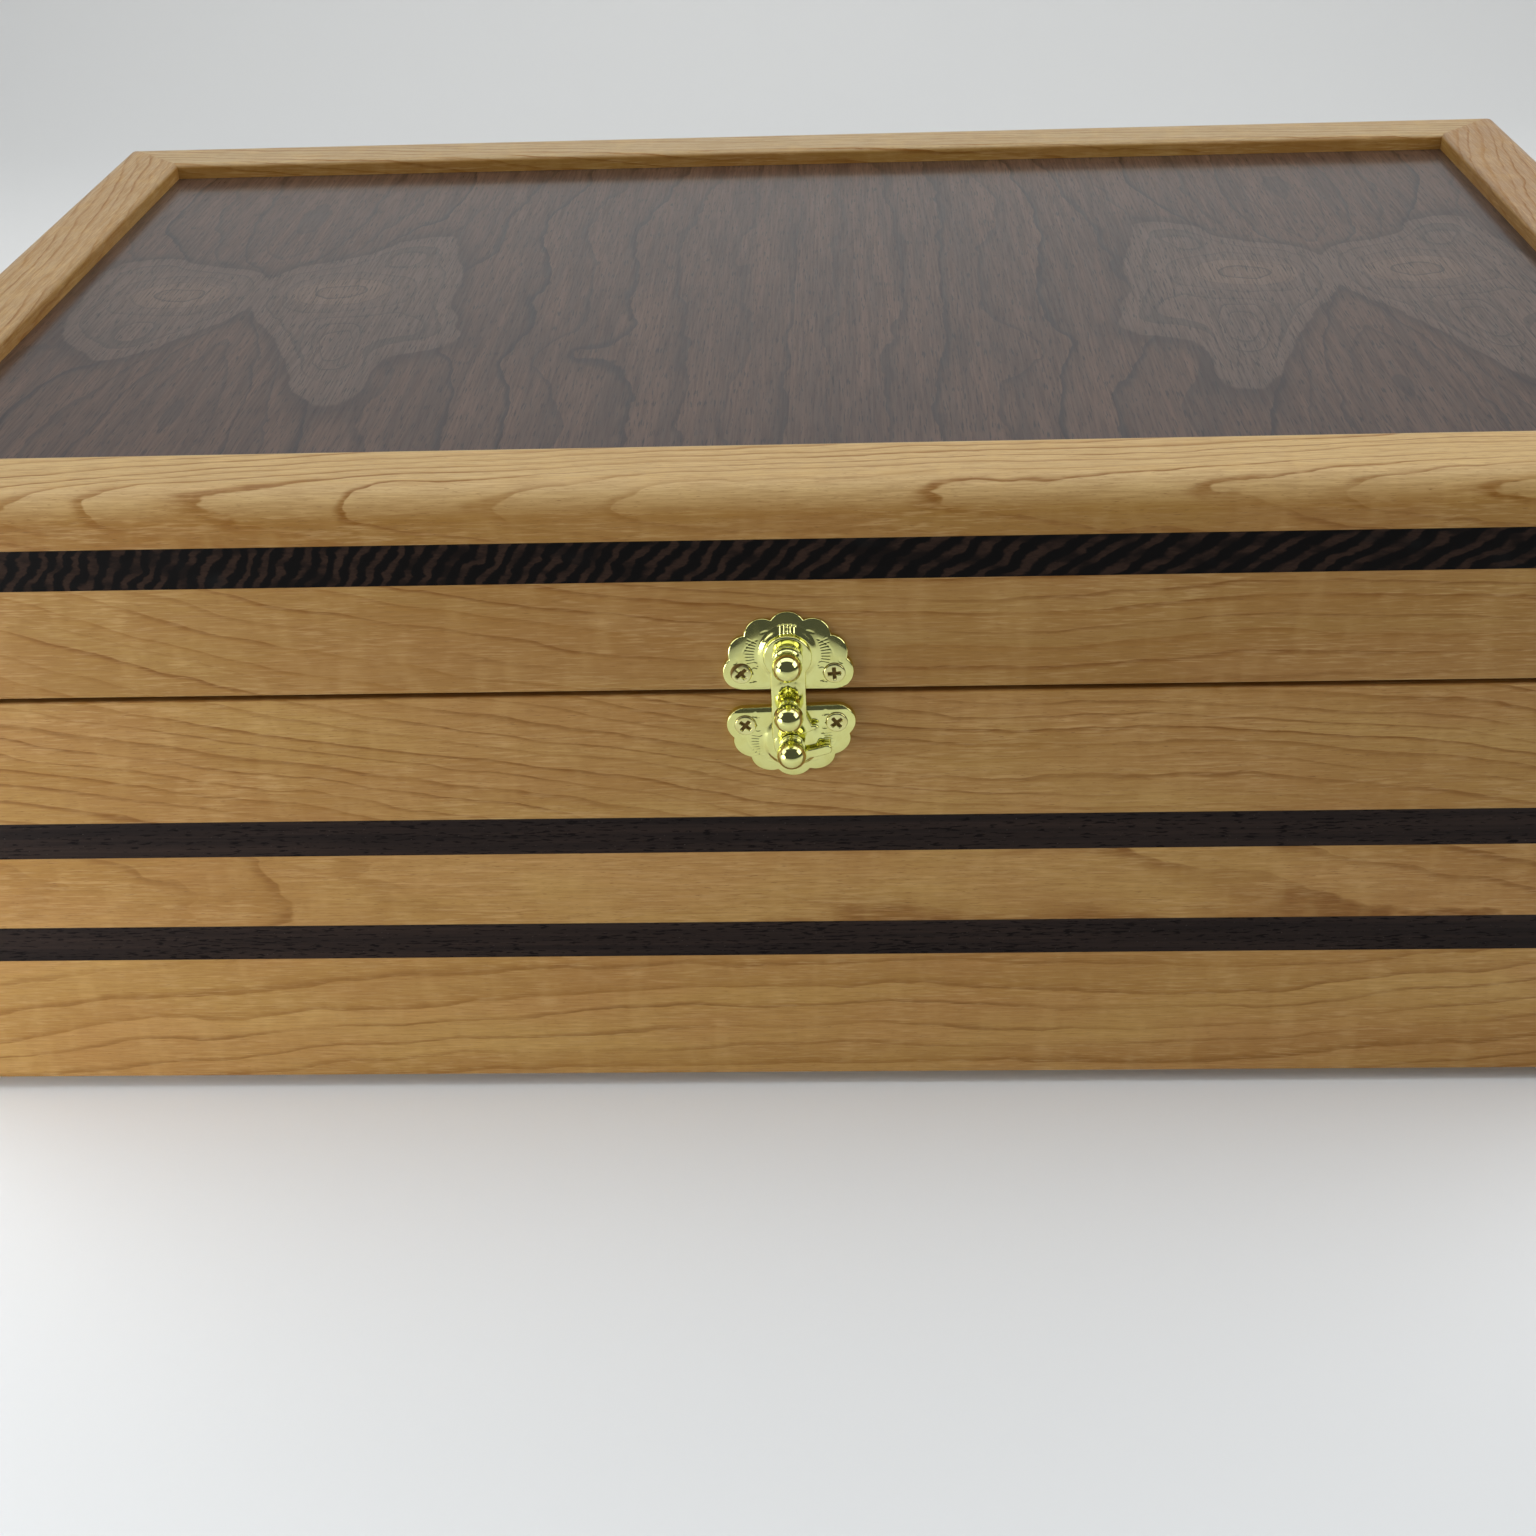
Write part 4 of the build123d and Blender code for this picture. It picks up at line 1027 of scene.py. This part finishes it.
# --- Room, light and camera ---
# In metres. The floor curves up at its far end.
FLOOR_NEAR, FLOOR_FAR, FLOOR_HALF_WIDTH = -1.2, 0.75, 2.5
CURVE_RADIUS, CURVE_STEPS, BACKDROP_TOP = 0.5, 24, 2.2
# Painted shade on the floor: darker in front of the box and, more slowly, behind it.
FRONT_FLOOR_SHADE, MIDDLE_TONE = rgb(0.715, 0.733, 0.745), rgb(0.855, 0.876, 0.892)
BACK_FLOOR_SHADE = rgb(0.75, 0.75, 0.74)
FRONT_FADE, BACK_FADE = (-0.28, -0.155), (0.15, 0.5)
CLOUD_TONE = rgb(0.68, 0.69, 0.7)


def sweep_floor():
    """A pale floor that curves up into a backdrop far behind the box."""
    profile = [(FLOOR_NEAR, 0.0)]
    for step in range(CURVE_STEPS + 1):
        angle = math.radians(90.0 * step / CURVE_STEPS)
        y = FLOOR_FAR + CURVE_RADIUS * math.sin(angle)
        profile.append((y, CURVE_RADIUS * (1 - math.cos(angle))))
    profile.append((FLOOR_FAR + CURVE_RADIUS, BACKDROP_TOP))
    mesh = bpy.data.meshes.new("floor")
    verts = [(x, y, z) for y, z in profile for x in (-FLOOR_HALF_WIDTH, FLOOR_HALF_WIDTH)]
    faces = [(2 * i, 2 * i + 1, 2 * i + 3, 2 * i + 2) for i in range(len(profile) - 1)]
    mesh.from_pydata(verts, [], faces)
    mesh.polygons.foreach_set("use_smooth", [True] * len(faces))
    mesh.materials.append(floor_material())
    add_object("floor", mesh)


def floor_material():
    """Matt pale board, faintly clouded. Its shading stands in for the tent's fall-off."""
    material, graph = new_material("pale_floor")
    coordinates = graph.add("ShaderNodeTexCoord").outputs["Object"]
    y = graph.split(coordinates)[1]
    cloud = graph.noise(coordinates, 3.0, 2.0)
    color = graph.mix(graph.spread(y, *FRONT_FADE), FRONT_FLOOR_SHADE, MIDDLE_TONE)
    color = graph.mix(graph.spread(y, *BACK_FADE), color, BACK_FLOOR_SHADE)
    color = graph.tint(color, CLOUD_TONE, cloud, 0.3, 0.7, 0.1)
    finish_surface(graph, color, graph.spread(cloud, 0.3, 0.7, 0.85, 0.9))
    return material


# Softboxes: place, the point each is aimed at, width and height in metres, watts and colour.
WHITE, COOL, WARM = (1.0, 1.0, 1.0), (0.94, 0.975, 1.0), (1.0, 0.92, 0.8)
SOFTBOXES = {
    "left_wall": ((-0.75, -0.05, 0.55), (0.0, -0.05, 0.3), (1.0, 0.5), 3.6, WHITE),
    "right_wall": ((0.75, -0.05, 0.55), (0.0, -0.05, 0.3), (1.0, 0.5), 4.4, WHITE),
    "roof": ((0.0, 0.2, 1.25), (0.0, 0.2, 0.0), (2.0, 1.2), 13.0, COOL),
    "low_left": ((-0.46, -0.36, 0.09), (-0.2, -0.15, 0.08), (0.25, 0.14), 1.0, WHITE),
    "front_fill": ((0.25, -2.6, 1.4), (0.0, -0.14, 0.1), (1.4, 1.0), 10.5, WARM),
}
ROOM_TONE = rgb(0.8, 0.84, 0.9)
ROOM_DARKNESS, ROOM_BACKDROP = 0.1, 0.75


def light_room():
    """A light tent: glowing side walls and roof, open and dark towards the front."""
    for name, (place, target, size, power, color) in SOFTBOXES.items():
        lamp = bpy.data.lights.new(name, "AREA")
        lamp.shape = "RECTANGLE"
        lamp.size, lamp.size_y = size
        lamp.energy = power
        lamp.color = color
        holder = add_object(name, lamp)
        holder.location = place
        holder.rotation_mode = "QUATERNION"
        aim = Vector(target) - Vector(place)
        holder.rotation_quaternion = aim.to_track_quat("-Z", "Y")
        holder.visible_glossy = name != "front_fill"  # the brass reflects a dark front


def light_backdrop():
    """A dim world, which the camera itself sees brighter past the floor's edges."""
    world = bpy.data.worlds.new("room")
    world.use_nodes = True
    graph = Graph(world.node_tree)
    inputs = world.node_tree.nodes["Background"].inputs
    seen = graph.add("ShaderNodeLightPath").outputs["Is Camera Ray"]
    graph.feed(inputs["Color"], ROOM_TONE)
    graph.feed(inputs["Strength"], graph.spread(seen, 0.0, 1.0, ROOM_DARKNESS, ROOM_BACKDROP))
    bpy.context.scene.world = world


# Metres, millimetres of lens and sensor, and degrees to the left, down and of roll.
CAMERA_PLACE, CAMERA_NEAREST = (0.0138, -0.5474, 0.3304), 0.01
CAMERA_LENS, CAMERA_SENSOR = 49.5, 36.0
CAMERA_TURN, CAMERA_DIP, CAMERA_ROLL = 2.695, 30.81, -2.073


def place_camera():
    """The camera at the photograph's viewing angle."""
    data = bpy.data.cameras.new("camera")
    data.lens = CAMERA_LENS
    data.sensor_width = CAMERA_SENSOR
    data.clip_start = CAMERA_NEAREST
    camera = add_object("camera", data)
    turn = Matrix.Rotation(math.radians(CAMERA_TURN), 4, "Z")
    dip = Matrix.Rotation(math.radians(90.0 - CAMERA_DIP), 4, "X")
    roll = Matrix.Rotation(math.radians(CAMERA_ROLL), 4, "Z")
    camera.matrix_world = Matrix.Translation(CAMERA_PLACE) @ turn @ dip @ roll
    bpy.context.scene.camera = camera
    bpy.context.scene.view_settings.view_transform = "Standard"


dress_walls()
dress_lid_panel()
dress_hardware()
dress_latch()
sweep_floor()
light_room()
light_backdrop()
place_camera()
